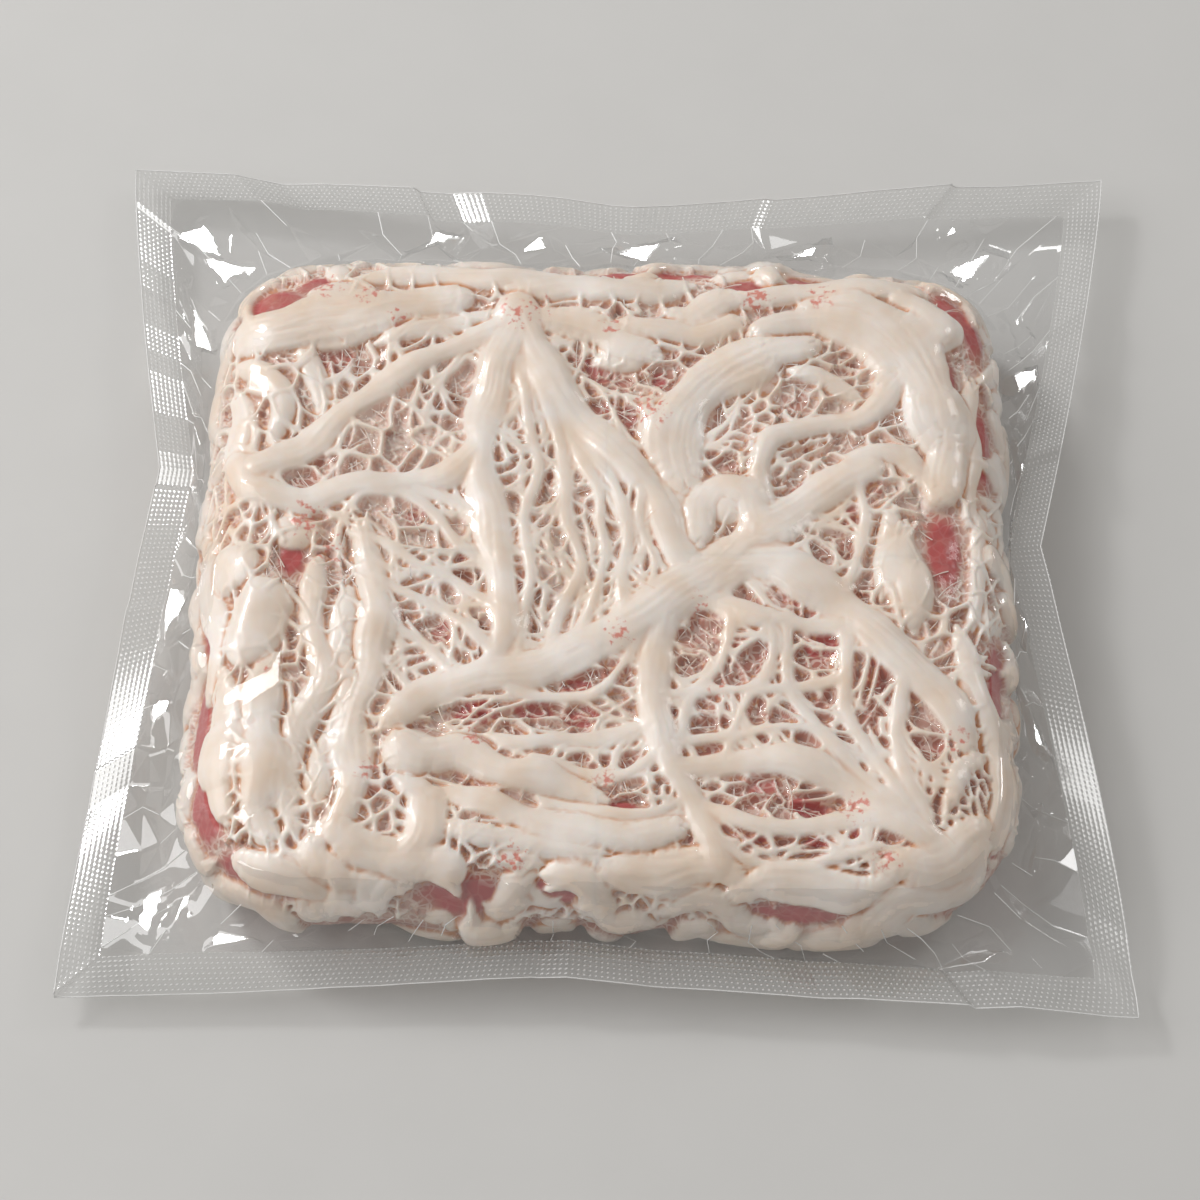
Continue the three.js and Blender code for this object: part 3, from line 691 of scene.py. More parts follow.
def fibres(half, across, along, seed):
    """Shallow uneven lengthwise ridges on a rope."""
    lines = np.stack((across * half / FIBRE_WIDTH, along * FIBRE_WAVE, np.full(len(half), seed * 3.1)), -1).tolist()
    ridge = np.array([noise.noise(line) for line in lines]) if lines else np.zeros(0)
    return FIBRE_HEIGHT * ridge * np.clip(half / 4, 0, 1.5)


def rope_height(past, half):
    """Height of a rope's rounded back, and of the slope beside it."""
    depth = np.clip(-past / half, 0, 1)
    rise = ROPE_RISE * (1 - np.exp(-half / ROPE_FULL))
    return ROPE_LEVEL + rise * np.sqrt(1 - (1 - depth) ** 2) - ROPE_FLANK * np.maximum(past, 0)


def strand_height(past, level, half):
    depth = np.clip(-past / half, 0, 1)
    return level + STRAND_RISE * half * np.sqrt(1 - (1 - depth) ** 2) - STRAND_FLANK * np.maximum(past, 0)


def unrolled(places, normals):
    """Plan of the bundle with its sides laid out flat."""
    drop = TOP - places[:, 2]
    return places[:, 0] + normals[:, 0] * drop * 0.9, places[:, 1] + normals[:, 1] * drop * 0.9


def skin_fields(places, normals):
    """Height of the fat over the tissue, and its looks, for each place on the bundle."""
    # Outlines wander a little, as nothing in the membrane is straight or even.
    wander = np.stack([1.2 * rough(places, 12.0, n) + 0.2 * rough(places, 4.0, n) for n in (5, 6, 7)], -1)
    field = Field(places + wander)
    count = len(places)
    places, normals = places[field.order], normals[field.order]
    x, y = unrolled(field.places, normals)

    # The net's ropes and twigs flow into each other.
    past, half, ridge = np.full(count, FAR_OFF), np.full(count, 1.0), np.zeros(count)
    for n, rope in enumerate(NET + TWIGS):
        some, new_past, new_half, across, along = field.past_rope(rope)
        joined, share = smooth_min(new_past, past[some], NET_JOIN if n < len(NET) else TWIG_JOIN)
        past[some] = joined
        half[some] = half[some] + (new_half - half[some]) * share
        ridge[some] = ridge[some] + (fibres(new_half, across, along, n) - ridge[some]) * share
    net_past = past
    height = rope_height(past, half) + ridge

    # Meat lies bare where no fat covers it.
    meat = np.zeros(count)
    for mx, my, wide, deep in MEAT:
        meat = np.maximum(meat, np.clip(1.7 - 1.2 * ellipse(x, y, mx, my, wide, deep), 0, 1))

    stain = np.zeros(count)
    for sx, sy, size in STAINS:
        stain = np.maximum(stain, 1 - np.hypot(x - sx, y - sy) / size)

    # Lace between the ropes.
    lace, tint, coarse = np.full(count, FAR_OFF), np.zeros(count), np.zeros(count)
    left = np.ones(count, bool)
    for n, (outline, cell, stretch, pole, strand, dusk) in enumerate(LACE):
        here = left & inside(outline, x, y) if outline else left
        lace[here] = net(x[here], y[here], cell, stretch, pole, strand, 11 + n, 2.8)
        tint[here], coarse[here] = dusk, cell
        left &= ~here
    low = step_up(-places[:, 2], -19.0, -13.0)
    lace = lace - 0.2 * np.exp(-np.maximum(net_past, 0) / 1.5) + 2.5 * meat + 3.0 * low
    red = np.maximum(np.maximum(meat, 0.55 * low), tint)
    for hx, hy, wide, deep, turn, blush in HOLES:
        some = np.nonzero(np.hypot(x - hx, y - hy) < wide + deep)[0]
        open_by = (1 - ellipse(x[some], y[some], hx, hy, wide, deep, turn)) * min(wide, deep)
        lace[some] = smooth_max(lace[some], open_by, 0.8)
        red[some] = np.maximum(red[some], blush * step_up(open_by, -0.5, 1.0))
    sheet = smooth_min(lace, net_past, 1.2)[0]
    fine = net(x, y, 3.0, 1.4, (-300, 120), 0.17, 40, 6.0) + 0.05 * (coarse - 6.4)

    lumps = rough(places, 7.0, 1)
    grain = rough(places, 1.7, 2)
    floor = FLOOR_LEVEL + 0.55 * lumps + 0.2 * grain
    height = smooth_max(height, strand_height(sheet, LACE_LEVEL, 0.8), LACE_JOIN)
    height = smooth_max(height, strand_height(fine, FINE_LEVEL + 0.4 * lumps - meat - 2 * low, 0.3), 0.3)
    height = smooth_max(height, floor + 0.8 * meat, 0.4)
    fat = np.maximum(step_up(-sheet, -0.25, 0.2), 0.85 * step_up(-fine, -0.2, 0.1) * (1 - low))
    fat = np.maximum(fat * (1 - step_up(meat, 0.4, 0.9)), step_up(-net_past, -0.3, 0.2))

    # Loose ropes and lobes lie over the net and over each other.
    for n, rope in enumerate(LOOSE + SIDES):
        some, past, half, across, along = field.past_rope(rope)
        if n >= len(LOOSE):
            past = past + 4 * np.maximum(meat[some] - 0.4, 0)
        new = rope_height(past, half) + rope.lift + fibres(half, across, along, n * 1.7)
        height[some] = smooth_max(height[some], new, LOOSE_JOIN)
        fat[some] = np.maximum(fat[some], step_up(-past, -0.5, 0.3))
    uneven = 0.24 * rough(places, 8.0, 8)
    for lx, ly, wide, deep, turn, lift in LOBES:
        size = min(wide, deep)
        past = (ellipse(x, y, lx, ly, wide, deep, turn) + uneven - 1) * size
        some = past < 6
        lobe = rope_height(past[some], np.full(some.sum(), size * 0.9)) + lift - 0.5
        height[some] = smooth_max(height[some], lobe, LOBE_JOIN)
        fat[some] = np.maximum(fat[some], step_up(-past[some], -0.5, 0.3))
    height += (0.02 * grain + 0.08 * rough(places, 4.5, 3) + 0.45 * rough(places, 11.0, 4)) * fat
    back = np.empty(count, int)
    back[field.order] = np.arange(count)
    return height[back], fat[back], red[back], stain[back]


def filaments(name, count, seed):
    """Hair-thin threads of membrane that cross the holes of the lace."""
    draw = random.Random(seed)
    strands = []
    for _ in range(count):
        spot = Vector((draw.uniform(LEFT + SHY, RIGHT - SHY), draw.uniform(NEAR + SHY, FAR - SHY)))
        heading = Vector((1, 0))
        heading.rotate(Matrix.Rotation(draw.uniform(0, math.pi), 2))
        bend = Matrix.Rotation(draw.uniform(-0.16, 0.16), 2)
        level = draw.uniform(1.2, 2.2) - SUNK
        strand = []
        for k in range(draw.randint(4, 7) + 1):
            place = (spot.x, spot.y, bundle_top(spot.x, spot.y) + level)
            strand.append((place, FILAMENT * (0.7 + 0.6 * abs(k / 3 - 1))))
            spot = spot + heading * FILAMENT_STEP
            heading.rotate(bend)
        strands.append(strand)
    piece = tubes(name, strands, 1)
    # The threads get no painted crease shade.
    for key, value in (("fat", 1.0), ("crease_shade", 0.2)):
        write_attribute(piece.data, key, np.full(len(piece.data.vertices), value))
    return piece


def blurred(grid, rounds):
    for _ in range(rounds):
        for axis in (0, 1):
            grid = (grid + (np.roll(grid, 1, axis) + np.roll(grid, -1, axis)) / 2) / 2
    return grid


def grid_normals(places):
    normals = np.cross(np.gradient(places, axis=1), np.gradient(places, axis=0))
    return normals / (np.linalg.norm(normals, axis=2, keepdims=True) + 1e-12)


def bundle_surface(u, v, upper, plateau):
    """Places on the bundle for a grid over the unit square, upper or lower half."""
    ring = np.maximum(np.maximum(np.abs(u), np.abs(v)), 1e-6)
    turned = np.maximum(ring - plateau, 0) / (1 - plateau)
    inset = (SHOULDER if upper else FOOT_INSET) * (1 - np.sin(turned * math.pi / 2))
    scale = np.minimum(ring / plateau, 1)
    radius = np.maximum(CORNER_RADIUS - inset, 1) * scale
    x, y = on_rounded_rectangle(u / ring, v / ring, (HALF.x - inset) * scale, (HALF.y - inset) * scale, radius)
    x, y = x + CENTRE.x, y + CENTRE.y
    z = bundle_top(x, y) if upper else bundle_foot(x, y) * (SEAM + 1) / (SEAM - 1)
    return np.stack((x, y, z), -1)


def sheet_piece(name, places, looks=None):
    """A grid shaped to an array of places, with the named looks as attributes."""
    rows, columns = places.shape[:2]
    bm = bmesh.new()
    bmesh.ops.create_grid(bm, x_segments=columns - 1, y_segments=rows - 1, size=1)
    for vertex in bm.verts:
        i = round((vertex.co.x + 1) / 2 * (columns - 1))
        j = round((vertex.co.y + 1) / 2 * (rows - 1))
        vertex.co = places[j, i]
    piece = object_from(name, bm)
    for key, values in (looks or {}).items():
        write_attribute(piece.data, key, values.ravel())
    return piece


def skin():
    """The bundle's skin: one sheet below, and four above that share its rim."""
    pieces = []
    for upper, across, deep in ((False, FOOT_ACROSS, FOOT_DEEP), (True, SKIN_ACROSS, SKIN_DEEP)):
        u, v = np.meshgrid(np.linspace(-1, 1, across + 1), np.linspace(-1, 1, deep + 1))
        base = bundle_surface(u, v, upper, PLATEAU)
        normals = grid_normals(base) * (1 if upper else -1)
        height, fat, meat, stain = (field.reshape(u.shape) for field in
                                     skin_fields(base.reshape(-1, 3), normals.reshape(-1, 3)))
        # Painted shade: places that lie below their blurred surroundings get a darker tan tint in the finish.
        crease_shade = np.clip(0.5 + (blurred(height, 10) - height) * 0.9, 0, 1)
        ring = np.maximum(np.abs(u), np.abs(v))
        flat = np.cos(np.maximum(ring - PLATEAU, 0) / (1 - PLATEAU) * math.pi / 2)
        rise = height - SUNK * (0.3 + 0.7 * flat if upper else 0.3)
        bulge = rough(base.reshape(-1, 3), BULGE_LENGTH, 9).reshape(u.shape)
        rise += BULGE * bulge * (1 - flat if upper else 1)
        if upper:
            parts = {row + "_" + column: (slice(far * deep // 2, (far + 1) * deep // 2 + 1),
                                          slice(right * across // 2, (right + 1) * across // 2 + 1))
                     for far, row in ((1, "far"), (0, "near")) for right, column in ((0, "left"), (1, "right"))}
        else:
            parts = {"below": (slice(None), slice(None, None, -1))}
            free = np.clip(base[:, :, 2] / PRESSED, 0, 1)
            rise = rise * free + 0.3 * (1 - free)
            rise = np.where(base[:, :, 2] < PRESSED, -np.abs(rise), rise)
        places = base + normals * rise[:, :, None]
        if upper:
            for edge in ((0, slice(None)), (-1, slice(None)), (slice(None), 0), (slice(None), -1)):
                row, steps = rim[edge], np.linspace(0, 1, len(places[edge]))
                places[edge] = np.stack([np.interp(steps, np.linspace(0, 1, len(row)), row[:, k])
                                         for k in range(3)], -1)
        rim = places
        for name, part in parts.items():
            looks = {"fat": fat[part], "crease_shade": crease_shade[part], "meat": meat[part], "stain": stain[part]}
            pieces.append(sheet_piece("caul_fat_" + name, places[part], looks))
    return pieces


# ---- film --------------------------------------------------------------------

OVER_GRID, LOWER_GRID = 240, 110
# The film over the fat: the share of the bundle that it covers, and of that the part on top and the loose edge.
OVER_REACH, OVER_PLATEAU, OVER_EDGE = 0.93, 0.9, 0.97
# The share of the lower film that lies flat under the bundle.
LOWER_FLAT = 0.74
FILM_GAP = 0.2
CLING = 2
# Where the border starts: this far out from the bundle, this high above its seam or, below, above the floor.
# Its inner edge is tucked this far in over the bundle, and it sags on its way to the seal.
ROOT_OUT, ROOT_RISE, LOWER_ROOT = 1, 8, 1.2
TUCKED, SAG = 5, 0.62
# The lower film's gap to the floor, and how high and from where it turns up to its root.
FLOOR_GAP, TURN_UP, TURN_FROM = 0.05, 1.1, 0.85
CREASE_STEP = 0.075
# Rows of creases between the bundle and the seal, as shares of the way out.
CREASE_ROWS = (-0.2, 0.08, 0.34, 0.64, 1.0)
CREASE_HEIGHTS = (0.0, 0.6, 2.2, 2.3, 0.85)
PINCH_CREASES = 0.7
# The welded band: its rows of dimples, how it curls, and the thin beads of the cut edge and the folds, which carry
# painted highlights.
DIMPLE_ALONG, DIMPLE_ACROSS, DIMPLE_HEIGHT = 1.4, 1.25, 0.16
BAND_CURL = 0.4
EDGE_BEAD, FOLD_BEAD, EDGE_POINTS = 0.17, 0.16, 1200

# Flat facets where the film bridges lobes or folds over, on the bundle and on the border: slopes along X and Y,
# and corners in plan.
FACETS = [
    (0.34, 0.06, [(-98, 46), (-94, 43), (-84, 50), (-86, 42), (-89, 40)]),
    (0.35, 0.06, [(-92, 41), (-86, 42), (-82, 35), (-84, 22)]),
    (0.34, -0.01, [(-75, -36), (-75, -51), (-85, -57), (-89, -50), (-79, -46)]),
    (0.32, -0.01, [(-86, -48), (-86, -55), (-95, -58), (-96, -60)]),
    (0.33, -0.04, [(-83, -80), (-74, -83), (-91, -91)]),
]
BORDER_FACETS = [
    (0.34, 0.09, [(-114, 95), (-110, 99), (-105, 100), (-100, 88), (-105, 87), (-108, 91)]),
    (0.34, 0.09, [(-107, 88), (-99, 85), (-90, 81), (-99, 75)]),
    (0.33, 0.08, [(-112, 87), (-107, 61), (-113, 80)]),
    (0.33, 0.07, [(-110, 80), (-99, 54), (-105, 57)]),
    (0.32, -0.01, [(-96, -52), (-96, -60), (-102, -64)]),
    (0.30, -0.05, [(-107, -93), (-100, -91), (-104, -106), (-109, -102)]),
    (0.31, -0.05, [(-99, -97), (-92, -92), (-95, -98), (-100, -107)]),
    (0.32, -0.05, [(-89, -102), (-78, -106), (-91, -107)]),
    (0.31, 0.01, [(-110, -5), (-101, -16), (-107, -27)]),
    (0.31, -0.01, [(-110, -41), (-102, -45), (-108, -53)]),
    (0.44, 0.11, [(-4, 90), (16, 91), (8, 84)]),
    (0.39, 0.10, [(-46, 98), (-37, 93), (-55, 90)]),
    (0.51, 0.12, [(83, 99), (88, 108), (91, 99)]),
    (0.52, 0.11, [(83, 86), (94, 91), (101, 90), (88, 79)]),
    (0.52, 0.08, [(95, 53), (107, 56), (107, 50), (97, 45)]),
    (0.51, 0.03, [(96, -7), (105, -25), (99, -23)]),
    (0.48, -0.04, [(77, -107), (87, -103), (96, -105), (84, -111)]),
    (0.50, -0.02, [(99, -86), (105, -65), (103, -84)]),
    (0.50, 0.03, [(99, 78), (103, 58), (107, 66)]),
    (0.48, 0.04, [(98, 38), (104, 26), (101, 16)]),
    (0.47, 0.0, [(98, -34), (104, -46), (108, -58), (101, -50)]),
    (0.42, -0.02, [(10, -108), (20, -104), (24, -110)]),
    (0.40, -0.03, [(-44, -106), (-30, -104), (-36, -110)]),
    (0.44, 0.08, [(40, 88), (56, 94), (50, 86)]),
]


def rim_place(u, v):
    """Where a point of the unit square's edge lies along the rim, from 0 to 8."""
    if v <= -abs(u):
        return 1 + u
    if u >= abs(v):
        return 3 + v
    if v >= abs(u):
        return 5 - u
    return 7 - v


def rim_point(place):
    """The point of the unit square's edge at a place along the rim."""
    place %= 8
    side, along = int(place // 2), place % 2 - 1
    return ((along, -1), (1, along), (-along, 1), (-1, -along))[side]


def drawn_share(place):
    """How far the side is drawn in at a place along the rim, as a share of the most."""
    u, v = rim_point(place)
    side = ("near", "right", "far", "left")[int(place % 8 // 2)]
    return drawn_in(side, v if side in ("left", "right") else u) / PINCH[side][0]


def creases(seed=4):
    """The creases that the vacuum leaves round the border: rim places, and heights for each row."""
    draw = random.Random(seed)
    count = round(8 / CREASE_STEP)
    made = []
    for i in range(count):
        lean = draw.uniform(-0.5, 0.5)
        places = [(i + lean * share + draw.uniform(-0.25, 0.25)) * 8 / count for share in CREASE_ROWS]
        flip = 1 if i % 2 else -1
        taller = 1 + PINCH_CREASES * drawn_share(places[-1])
        heights = [tall * taller * flip * draw.uniform(0.1, 1.25) for tall in CREASE_HEIGHTS]
        heights[-1] = CREASE_HEIGHTS[-1] * draw.choice((-1.6, -0.5, -0.2, 0.0, 0.2, 0.5, 1.6))
        made.append((places, heights))
    return made


CREASES = creases()
BENDS = sorted((places[-1] % 8, heights[-1]) for places, heights in CREASES)


def bend_height(place):
    """How the welded band bends up and down along the rim."""
    return float(np.interp(place, [p for p, _ in BENDS], [h for _, h in BENDS], period=8))


def pouch_line(u, v, inset):
    """A point of the border, a way in from the pouch's outer edge."""
    edge = pouch_edge(u, v)
    edge.x *= (POUCH_X - inset) / POUCH_X
    edge.y *= (POUCH_Y - inset) / POUCH_Y
    place = rim_place(u, v)
    curl = BAND_CURL * max(0.4 + noise.noise(Vector((place * 2.2, 0, 3))), 0)
    edge.z += bend_height(place) + (SEAL_BAND - inset) * curl * edge.x / POUCH_X
    return edge


def outline_point(u, v, inset):
    """A point of the bundle's outline, or a way in from it."""
    x, y = on_rounded_rectangle(u, v, HALF.x - inset, HALF.y - inset, CORNER_RADIUS - inset)
    return CENTRE.x + x, CENTRE.y + y


def border_point(u, v, share, upper):
    """A point of the film between the bundle and the seal."""
    seal = pouch_line(u, v, SEAL_BAND)
    x, y = outline_point(u, v, -ROOT_OUT)
    root = Vector((x, y, SEAM + ROOT_RISE if upper else LOWER_ROOT))
    if share < 0:
        x, y = outline_point(u, v, TUCKED)
        return Vector((x, y, bundle_top(x, y) - 0.5))
    point = root.lerp(seal, share)
    point.z = root.z + (seal.z - root.z) * share ** (SAG if upper else 1)
    return point


def highest(trees, x, y):
    """Height of the contents at a place in plan, or 0."""
    start = Vector((x * MM, y * MM, 0.2))
    hits = [tree.ray_cast(start, Vector((0, 0, -1)))[0] for tree in trees]
    return max([hit.z / MM for hit in hits if hit], default=0)


def film_border(trees):
    """The border of the upper web: a grid bent into a ring, with flat facets between creases that fan out."""
    bm = bmesh.new()
    last = len(CREASE_ROWS) - 1
    bmesh.ops.create_grid(bm, x_segments=len(CREASES), y_segments=last, size=1)
    for vertex in bm.verts:
        places, heights = CREASES[round((vertex.co.x + 1) / 2 * len(CREASES)) % len(CREASES)]
        k = round((vertex.co.y + 1) / 2 * last)
        vertex.co = border_point(*rim_point(places[k]), CREASE_ROWS[k], True)
        vertex.co.z += heights[k] * (k < last)
    bmesh.ops.remove_doubles(bm, verts=bm.verts, dist=0.001)
    bmesh.ops.triangulate(bm, faces=bm.faces)
    bmesh.ops.subdivide_edges(bm, edges=bm.edges, cuts=7, use_grid_fill=True)
    bmesh.ops.triangulate(bm, faces=[f for f in bm.faces if len(f.verts) > 3])
    for vertex in bm.verts:
        if not vertex.is_boundary and inset_at(vertex.co.x, vertex.co.y) > -8:
            vertex.co.z = max(vertex.co.z, highest(trees, vertex.co.x, vertex.co.y) + FILM_GAP)
    inner = [v for v in bm.verts if not v.is_boundary]
    x, y, _ = np.array([v.co for v in inner]).T
    for slope_x, slope_y, corners in BORDER_FACETS:
        here = [inner[n] for n in np.nonzero(inside(corners, x, y))[0]]
        if here:
            level = sum(v.co.z - v.co.x * slope_x - v.co.y * slope_y for v in here) / len(here)
            for vertex in here:
                vertex.co.z = level + vertex.co.x * slope_x + vertex.co.y * slope_y
    bmesh.ops.smooth_vert(bm, verts=inner, factor=0.35, use_axis_x=True, use_axis_y=True, use_axis_z=True)
    bmesh.ops.recalc_face_normals(bm, faces=bm.faces)
    if sum(f.normal.z for f in bm.faces) < 0:
        bmesh.ops.reverse_faces(bm, faces=bm.faces)
    return object_from("film_border", bm)


def fold_lines(seed=9):
    """Thin beads along some of the sharp folds of the creases, finished near white as painted highlights: thin bright
    lines.
    """
    draw = random.Random(seed)
    folds = []
    for places, heights in CREASES:
        if draw.random() < 0.2:
            continue
        first, last = draw.choice(((1, 3), (1, 4), (2, 4), (3, 4), (1, 2)))
        fold = []
        for k in range(first, last + 1):
            point = border_point(*rim_point(places[k]), CREASE_ROWS[k], True)
            lift = heights[k] * (CREASE_ROWS[k] < 1) + 0.15
            fold.append((point + Vector((0, 0, lift)), draw.uniform(0.4, 1)))
        folds.append(fold)
    return tubes("film_fold_highlights", folds, FOLD_BEAD)


def spread(heights, reach, pick):
    """Morphology on a grid of heights: the highest or lowest value within reach."""
    out = heights.copy()
    for dx in range(-reach, reach + 1):
        for dy in range(-reach, reach + 1):
            if dx * dx + dy * dy <= reach * reach + 1:
                out = pick(out, np.roll(heights, (dx, dy), (0, 1)))
    return out


def film_over(trees):
    """The upper web where it lies taut on the contents."""
    u, v = np.meshgrid(np.linspace(-1, 1, OVER_GRID + 1), np.linspace(-1, 1, OVER_GRID + 1))
    places = bundle_surface(u * OVER_REACH, v * OVER_REACH, True, OVER_PLATEAU)
    heights = np.array([highest(trees, x, y) + FILM_GAP for x, y, _ in places.reshape(-1, 3).tolist()])
    heights = heights.reshape(u.shape)
    closed = spread(spread(heights, CLING, np.maximum), CLING - 1, np.minimum)
    edge = np.maximum(np.abs(u), np.abs(v)) > OVER_EDGE
    for _ in range(2):
        mean = sum(np.roll(closed, shift, (0, 1)) for shift in ((0, 1), (1, 0), (0, -1), (-1, 0))) / 4
        closed = np.where(edge, closed, np.maximum(mean, heights))
    closed = np.where(edge, heights, closed)
    for slope_x, slope_y, corners in FACETS:
        here = inside(corners, places[:, :, 0], places[:, :, 1])
        if here.any():
            plane = places[:, :, 0] * slope_x + places[:, :, 1] * slope_y
            closed[here] = (plane + np.max(closed[here] - plane[here]) + 0.1)[here]
    places[:, :, 2] = closed
    return sheet_piece("film_over", places)


def film_below():
    """The lower web: flat on the floor, and up to the seal round the bundle."""
    steps = np.linspace(-1, 1, LOWER_GRID + 1)
    places = np.zeros((LOWER_GRID + 1, LOWER_GRID + 1, 3))
    for j, v in enumerate(steps):
        for i, u in enumerate(steps):
            ring = max(abs(u), abs(v), 1e-6)
            if ring > LOWER_FLAT:
                share = (ring - LOWER_FLAT) / (1 - LOWER_FLAT)
                places[j, i] = border_point(u / ring, v / ring, share, False)
            else:
                share = ring / LOWER_FLAT
                x, y = outline_point(u / ring, v / ring, -ROOT_OUT)
                places[j, i] = (CENTRE.x + (x - CENTRE.x) * share, CENTRE.y + (y - CENTRE.y) * share,
                                FLOOR_GAP + TURN_UP * max(share - TURN_FROM, 0) / (1 - TURN_FROM))
    return sheet_piece("film_below", places[:, ::-1])


def seal_band(name, sides):
    """Two sides of the welded band, embossed with rows of small dimples."""
    bm = bmesh.new()
    rows = round(SEAL_BAND / DIMPLE_ACROSS) * 4
    dimple = bm.verts.layers.float.new("dimple")
    for side in sides:
        half = POUCH_Y if side % 2 else POUCH_X
        columns = round(2 * half / DIMPLE_ALONG) * 4
        made = bmesh.ops.create_grid(bm, x_segments=columns, y_segments=rows, size=1)["verts"]
        for vertex in made:
            along, depth = vertex.co.x, (vertex.co.y + 1) / 2 * SEAL_BAND
            point = pouch_line(*rim_point(2 * side + 1 + along), depth)
            wave = max(math.cos(2 * math.pi * along * half / DIMPLE_ALONG), 0) \
                * max(math.cos(2 * math.pi * depth / DIMPLE_ACROSS), 0)
            vertex.co = point + Vector((0, 0, DIMPLE_HEIGHT * wave))
            vertex[dimple] = wave
    return object_from(name, bm)


def cut_edge_highlight():
    """The pouch's cut edge: a hair-thin bead all round, finished near white as a painted highlight."""
    edge = [(pouch_line(*rim_point(8 * i / EDGE_POINTS), EDGE_BEAD), 1) for i in range(EDGE_POINTS)]
    return tubes("cut_edge_highlight", [edge], EDGE_BEAD, closed=True)


# ---- finishes ----------------------------------------------------------------

# CREASE_SHADE is painted shade for the creases; the other colours are the fat's and tissue's own.
IVORY, CREAM, CREASE_SHADE, THREAD = "E9E0D8", "E0CCB9", "D09468", "E9DBD0"
PINK, PALE_PINK, DUSKY, DARK_PINK, MEAT_RED, BLOOD = "D3AD9D", "E4CFC3", "B57C6C", "AE7560", "B0504E", "D48A7C"
RGBA = {"data_type": "RGBA"}
MULTIPLY, MULTIPLY_ADD = {"operation": "MULTIPLY"}, {"operation": "MULTIPLY_ADD"}
EDGE_GLOSS = 0.5


def caul_fat_finish():
    """Soft waxy fat on thin wet membrane: ivory ridges with painted tan shade in the creases, pink tissue with white
    threads, red meat.
    """
    made, tree = material("moist_caul_fat")
    where = node(tree, "TexCoord", out="Object")
    fat, crease_shade, meat, stain = (node(tree, "Attribute", {"attribute_name": name}, "Fac")
                                for name in ("fat", "crease_shade", "meat", "stain"))
    cloud = node(tree, "TexNoise", Vector=where, Scale=60.0, Detail=3.0, Roughness=0.55)
    patch = node(tree, "TexNoise", Vector=where, Scale=150.0, Detail=3.0)
    flecks = node(tree, "TexNoise", Vector=where, Scale=620.0, Detail=2.0)

    # Fat: ivory to cream, with painted tan shade in the creases, and flecks of blood.
    ivory = linear(IVORY)
    for value, start, end, tint in ((cloud, 0.35, 0.68, CREAM), (crease_shade, 0.52, 0.88, CREASE_SHADE)):
        share = node(tree, "MapRange", Value=value, From_Min=start, From_Max=end)
        ivory = node(tree, "Mix", RGBA, 2, Factor=share, _6=ivory, _7=linear(tint))
    fleck = node(tree, "Math", MULTIPLY_ADD, _0=stain, _1=0.22, _2=flecks)
    fleck = node(tree, "MapRange", Value=fleck, From_Min=0.64, From_Max=0.78)
    near = node(tree, "MapRange", Value=stain, From_Min=0.0, From_Max=0.3)
    fleck = node(tree, "Math", MULTIPLY, _0=fleck, _1=near)
    ivory = node(tree, "Mix", RGBA, 2, Factor=fleck, _6=ivory, _7=linear(BLOOD))

    # Tissue: patchy pink, redder over meat.
    uneven = node(tree, "Math", MULTIPLY_ADD, _0=patch, _1=0.8, _2=meat)
    tissue = linear(PINK)
    for value, start, end, tint in ((cloud, 0.38, 0.62, PALE_PINK), (patch, 0.52, 0.68, DARK_PINK),
                                    (uneven, 0.6, 1.0, DUSKY), (uneven, 1.0, 1.4, MEAT_RED)):
        share = node(tree, "MapRange", Value=value, From_Min=start, From_Max=end)
        tissue = node(tree, "Mix", RGBA, 2, Factor=share, _6=tissue, _7=linear(tint))

    # Hair-thin white threads over the tissue.
    drift = node(tree, "TexNoise", out="Color", Vector=where, Scale=170.0, Detail=1.0)
    bent = node(tree, "VectorMath", MULTIPLY_ADD, _0=drift, _1=(0.005, 0.005, 0.005), _2=where)
    web = node(tree, "TexVoronoi", {"feature": "DISTANCE_TO_EDGE"}, Vector=bent, Scale=360.0)
    thread = node(tree, "MapRange", Value=web, From_Min=0.11, From_Max=0.05)
    share = node(tree, "MapRange", Value=meat, From_Min=0.5, From_Max=1.0, To_Min=0.55, To_Max=0.05)
    shown = node(tree, "Math", MULTIPLY, _0=thread, _1=share)
    tissue = node(tree, "Mix", RGBA, 2, Factor=shown, _6=tissue, _7=linear(THREAD))

    colour = node(tree, "Mix", RGBA, 2, Factor=fat, _6=tissue, _7=ivory)
    skin = node(tree, "BsdfPrincipled", Base_Color=colour, Roughness=0.36, Coat_Weight=0.2, Coat_Roughness=0.1,
                Subsurface_Weight=0.25, Subsurface_Scale=0.004, Subsurface_Radius=(1.0, 0.55, 0.35))
    node(tree, "OutputMaterial", Surface=skin)
    return made


def cover_with_gloss(tree, body, facing_on, roughness):
    """Ends a clear finish: it mirrors a little face on, and most at a glancing angle, from both sides."""
    facing = node(tree, "LayerWeight", out="Facing", Blend=0.5)
    steep = node(tree, "Math", {"operation": "POWER"}, _0=facing, _1=4.0)
    share = node(tree, "Math", MULTIPLY_ADD, _0=steep, _1=EDGE_GLOSS, _2=facing_on)
    gloss = node(tree, "BsdfGlossy", Roughness=roughness)
    mixed = node(tree, "MixShader", _0=share, _1=body, _2=gloss)
    node(tree, "OutputMaterial", Surface=mixed)


def film_finish(name, facing_on):
    """Clear polyamide and polyethylene film, blown and smooth: no colour, only its gloss."""
    made, tree = material(name)
    clear = node(tree, "BsdfTransparent", Color=linear("FDFDFD"))
    cover_with_gloss(tree, clear, facing_on, 0.04)
    return made


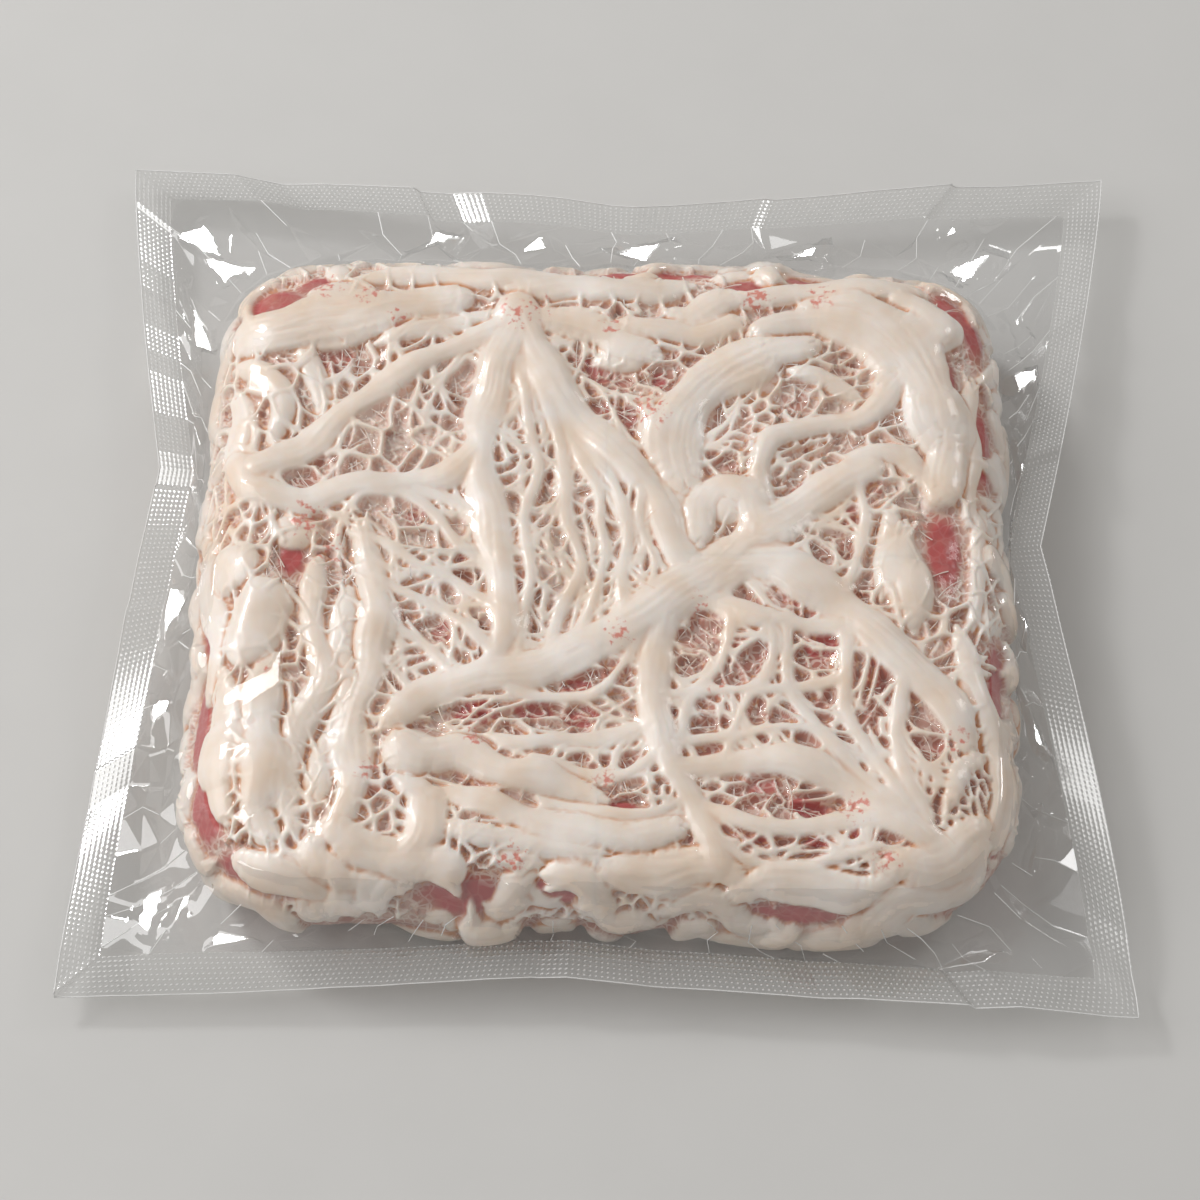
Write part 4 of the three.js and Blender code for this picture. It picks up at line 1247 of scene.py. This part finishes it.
def seal_finish():
    """Two webs welded by a quilted heating bar: the tiny dimples scatter light, so it looks grey-white; the dimple
    tops are made whiter still, a painted highlight for their glints.
    """
    made, tree = material("heat_sealed_film")
    haze = node(tree, "BsdfDiffuse", Color=linear("F6F6F5"))
    clear = node(tree, "BsdfTransparent", Color=linear("F4F4F3"))
    dimple = node(tree, "Attribute", {"attribute_name": "dimple"}, "Fac")
    # The white haze rises with the dimple height: real haze of the weld, and a painted highlight on the dimple tops.
    haze_and_painted_glint = node(tree, "MapRange", Value=dimple, From_Min=0.0, From_Max=0.9, To_Min=0.12, To_Max=0.95)
    body = node(tree, "MixShader", _0=haze_and_painted_glint, _1=clear, _2=haze)
    cover_with_gloss(tree, body, 0.24, 0.1)
    return made


def painted_highlight_finish():
    """Painted highlight: near white and partly see-through, for the film's cut edge and sharp folds, standing in for
    the bright line of light they catch.
    """
    made, tree = material("painted_highlight_on_film_edge")
    skin = node(tree, "BsdfPrincipled", Base_Color=linear("F2F2F1"), Roughness=0.2, Alpha=0.75)
    node(tree, "OutputMaterial", Surface=skin)
    return made


def floor_finish():
    """Matt paper sweep, pale grey."""
    made, tree = material("pale_grey_paper")
    where = node(tree, "TexCoord", out="Object")
    grain = node(tree, "TexNoise", Vector=where, Scale=40.0, Detail=3.0)
    tone = node(tree, "Mix", RGBA, 2, Factor=grain, _6=linear("C6C5C3"), _7=linear("CAC9C7"))
    skin = node(tree, "BsdfPrincipled", Base_Color=tone, Roughness=0.9)
    node(tree, "OutputMaterial", Surface=skin)
    return made


# ---- camera, light and floor -------------------------------------------------

def add_facing(name, data, place, way):
    """Adds a camera or lamp at a place, in metres, that looks one way."""
    holder = add_object(name, data)
    holder.location = place
    holder.rotation_euler = way.to_track_quat("-Z", "Y").to_euler()
    return holder


def camera():
    pitch, yaw, distance = math.radians(60), math.radians(1.36), 993.0
    target = Vector((-1.4, -14.1, 15.0))
    back = Vector((math.sin(yaw) * math.cos(pitch), -math.cos(yaw) * math.cos(pitch), math.sin(pitch)))
    lens = bpy.data.cameras.new("camera")
    lens.lens = 122.6
    lens.sensor_width = 36
    scene.camera = add_facing("camera", lens, (target + back * distance) * MM, -back)


def area_light(name, place, size, watts):
    """A square lamp that shines at the pack."""
    lamp = bpy.data.lights.new(name, "AREA")
    lamp.shape = "SQUARE"
    lamp.size = size
    lamp.energy = watts
    add_facing(name, lamp, place, -Vector(place))


def studio():
    area_light("softbox", (-1.3, 0.05, 1.0), 1.3, 12.9)
    area_light("key", (-1.27, 0.92, 1.29), 0.36, 13)
    area_light("side_panel", (1.2, 0.9, 1.1), 0.45, 3.5)
    world = bpy.data.worlds.new("studio")
    world.use_nodes = True
    glow = world.node_tree.nodes["Background"].inputs
    glow["Color"].default_value = linear("E8E6E3")
    glow["Strength"].default_value = 0.54
    scene.world = world
    scene.view_settings.view_transform = "Standard"
    bm = bmesh.new()
    bmesh.ops.create_grid(bm, x_segments=2, y_segments=2, size=3)
    floor = object_from("floor", bm)
    floor.data.materials.append(floor_finish())


# ---- building it -------------------------------------------------------------

camera()
studio()

NET = net_ropes()
TWIGS = twigs(NET, 12)
LOOSE = [Rope(laid(places), start, end, lift) for start, end, lift, places in LOOSE_ROPES]
SIDES = side_ropes(21)

# The edge finish is a painted highlight for the cut edge and the fold beads.
fat_finish, seal_film, painted_highlight = caul_fat_finish(), seal_finish(), painted_highlight_finish()
contents = [finish_piece(piece, fat_finish) for piece in skin()]
contents.append(finish_piece(filaments("filaments", 500, 3), fat_finish))
trees = [BVHTree.FromObject(piece, bpy.context.evaluated_depsgraph_get()) for piece in contents[1:5]]
for piece, finish, casts in (
        (film_over(trees), film_finish("clear_film_on_fat", 0.02), False),
        (film_border(trees), film_finish("clear_film_in_air", 0.15), False),
        (film_below(), film_finish("clear_film_below", 0.05), False),
        (seal_band("seal_band_ends", (0, 2)), seal_film, True),
        (seal_band("seal_band_sides", (1, 3)), seal_film, True),
        (cut_edge_highlight(), painted_highlight, True),
        (fold_lines(), painted_highlight, False)):
    finish_piece(piece, finish, casts)
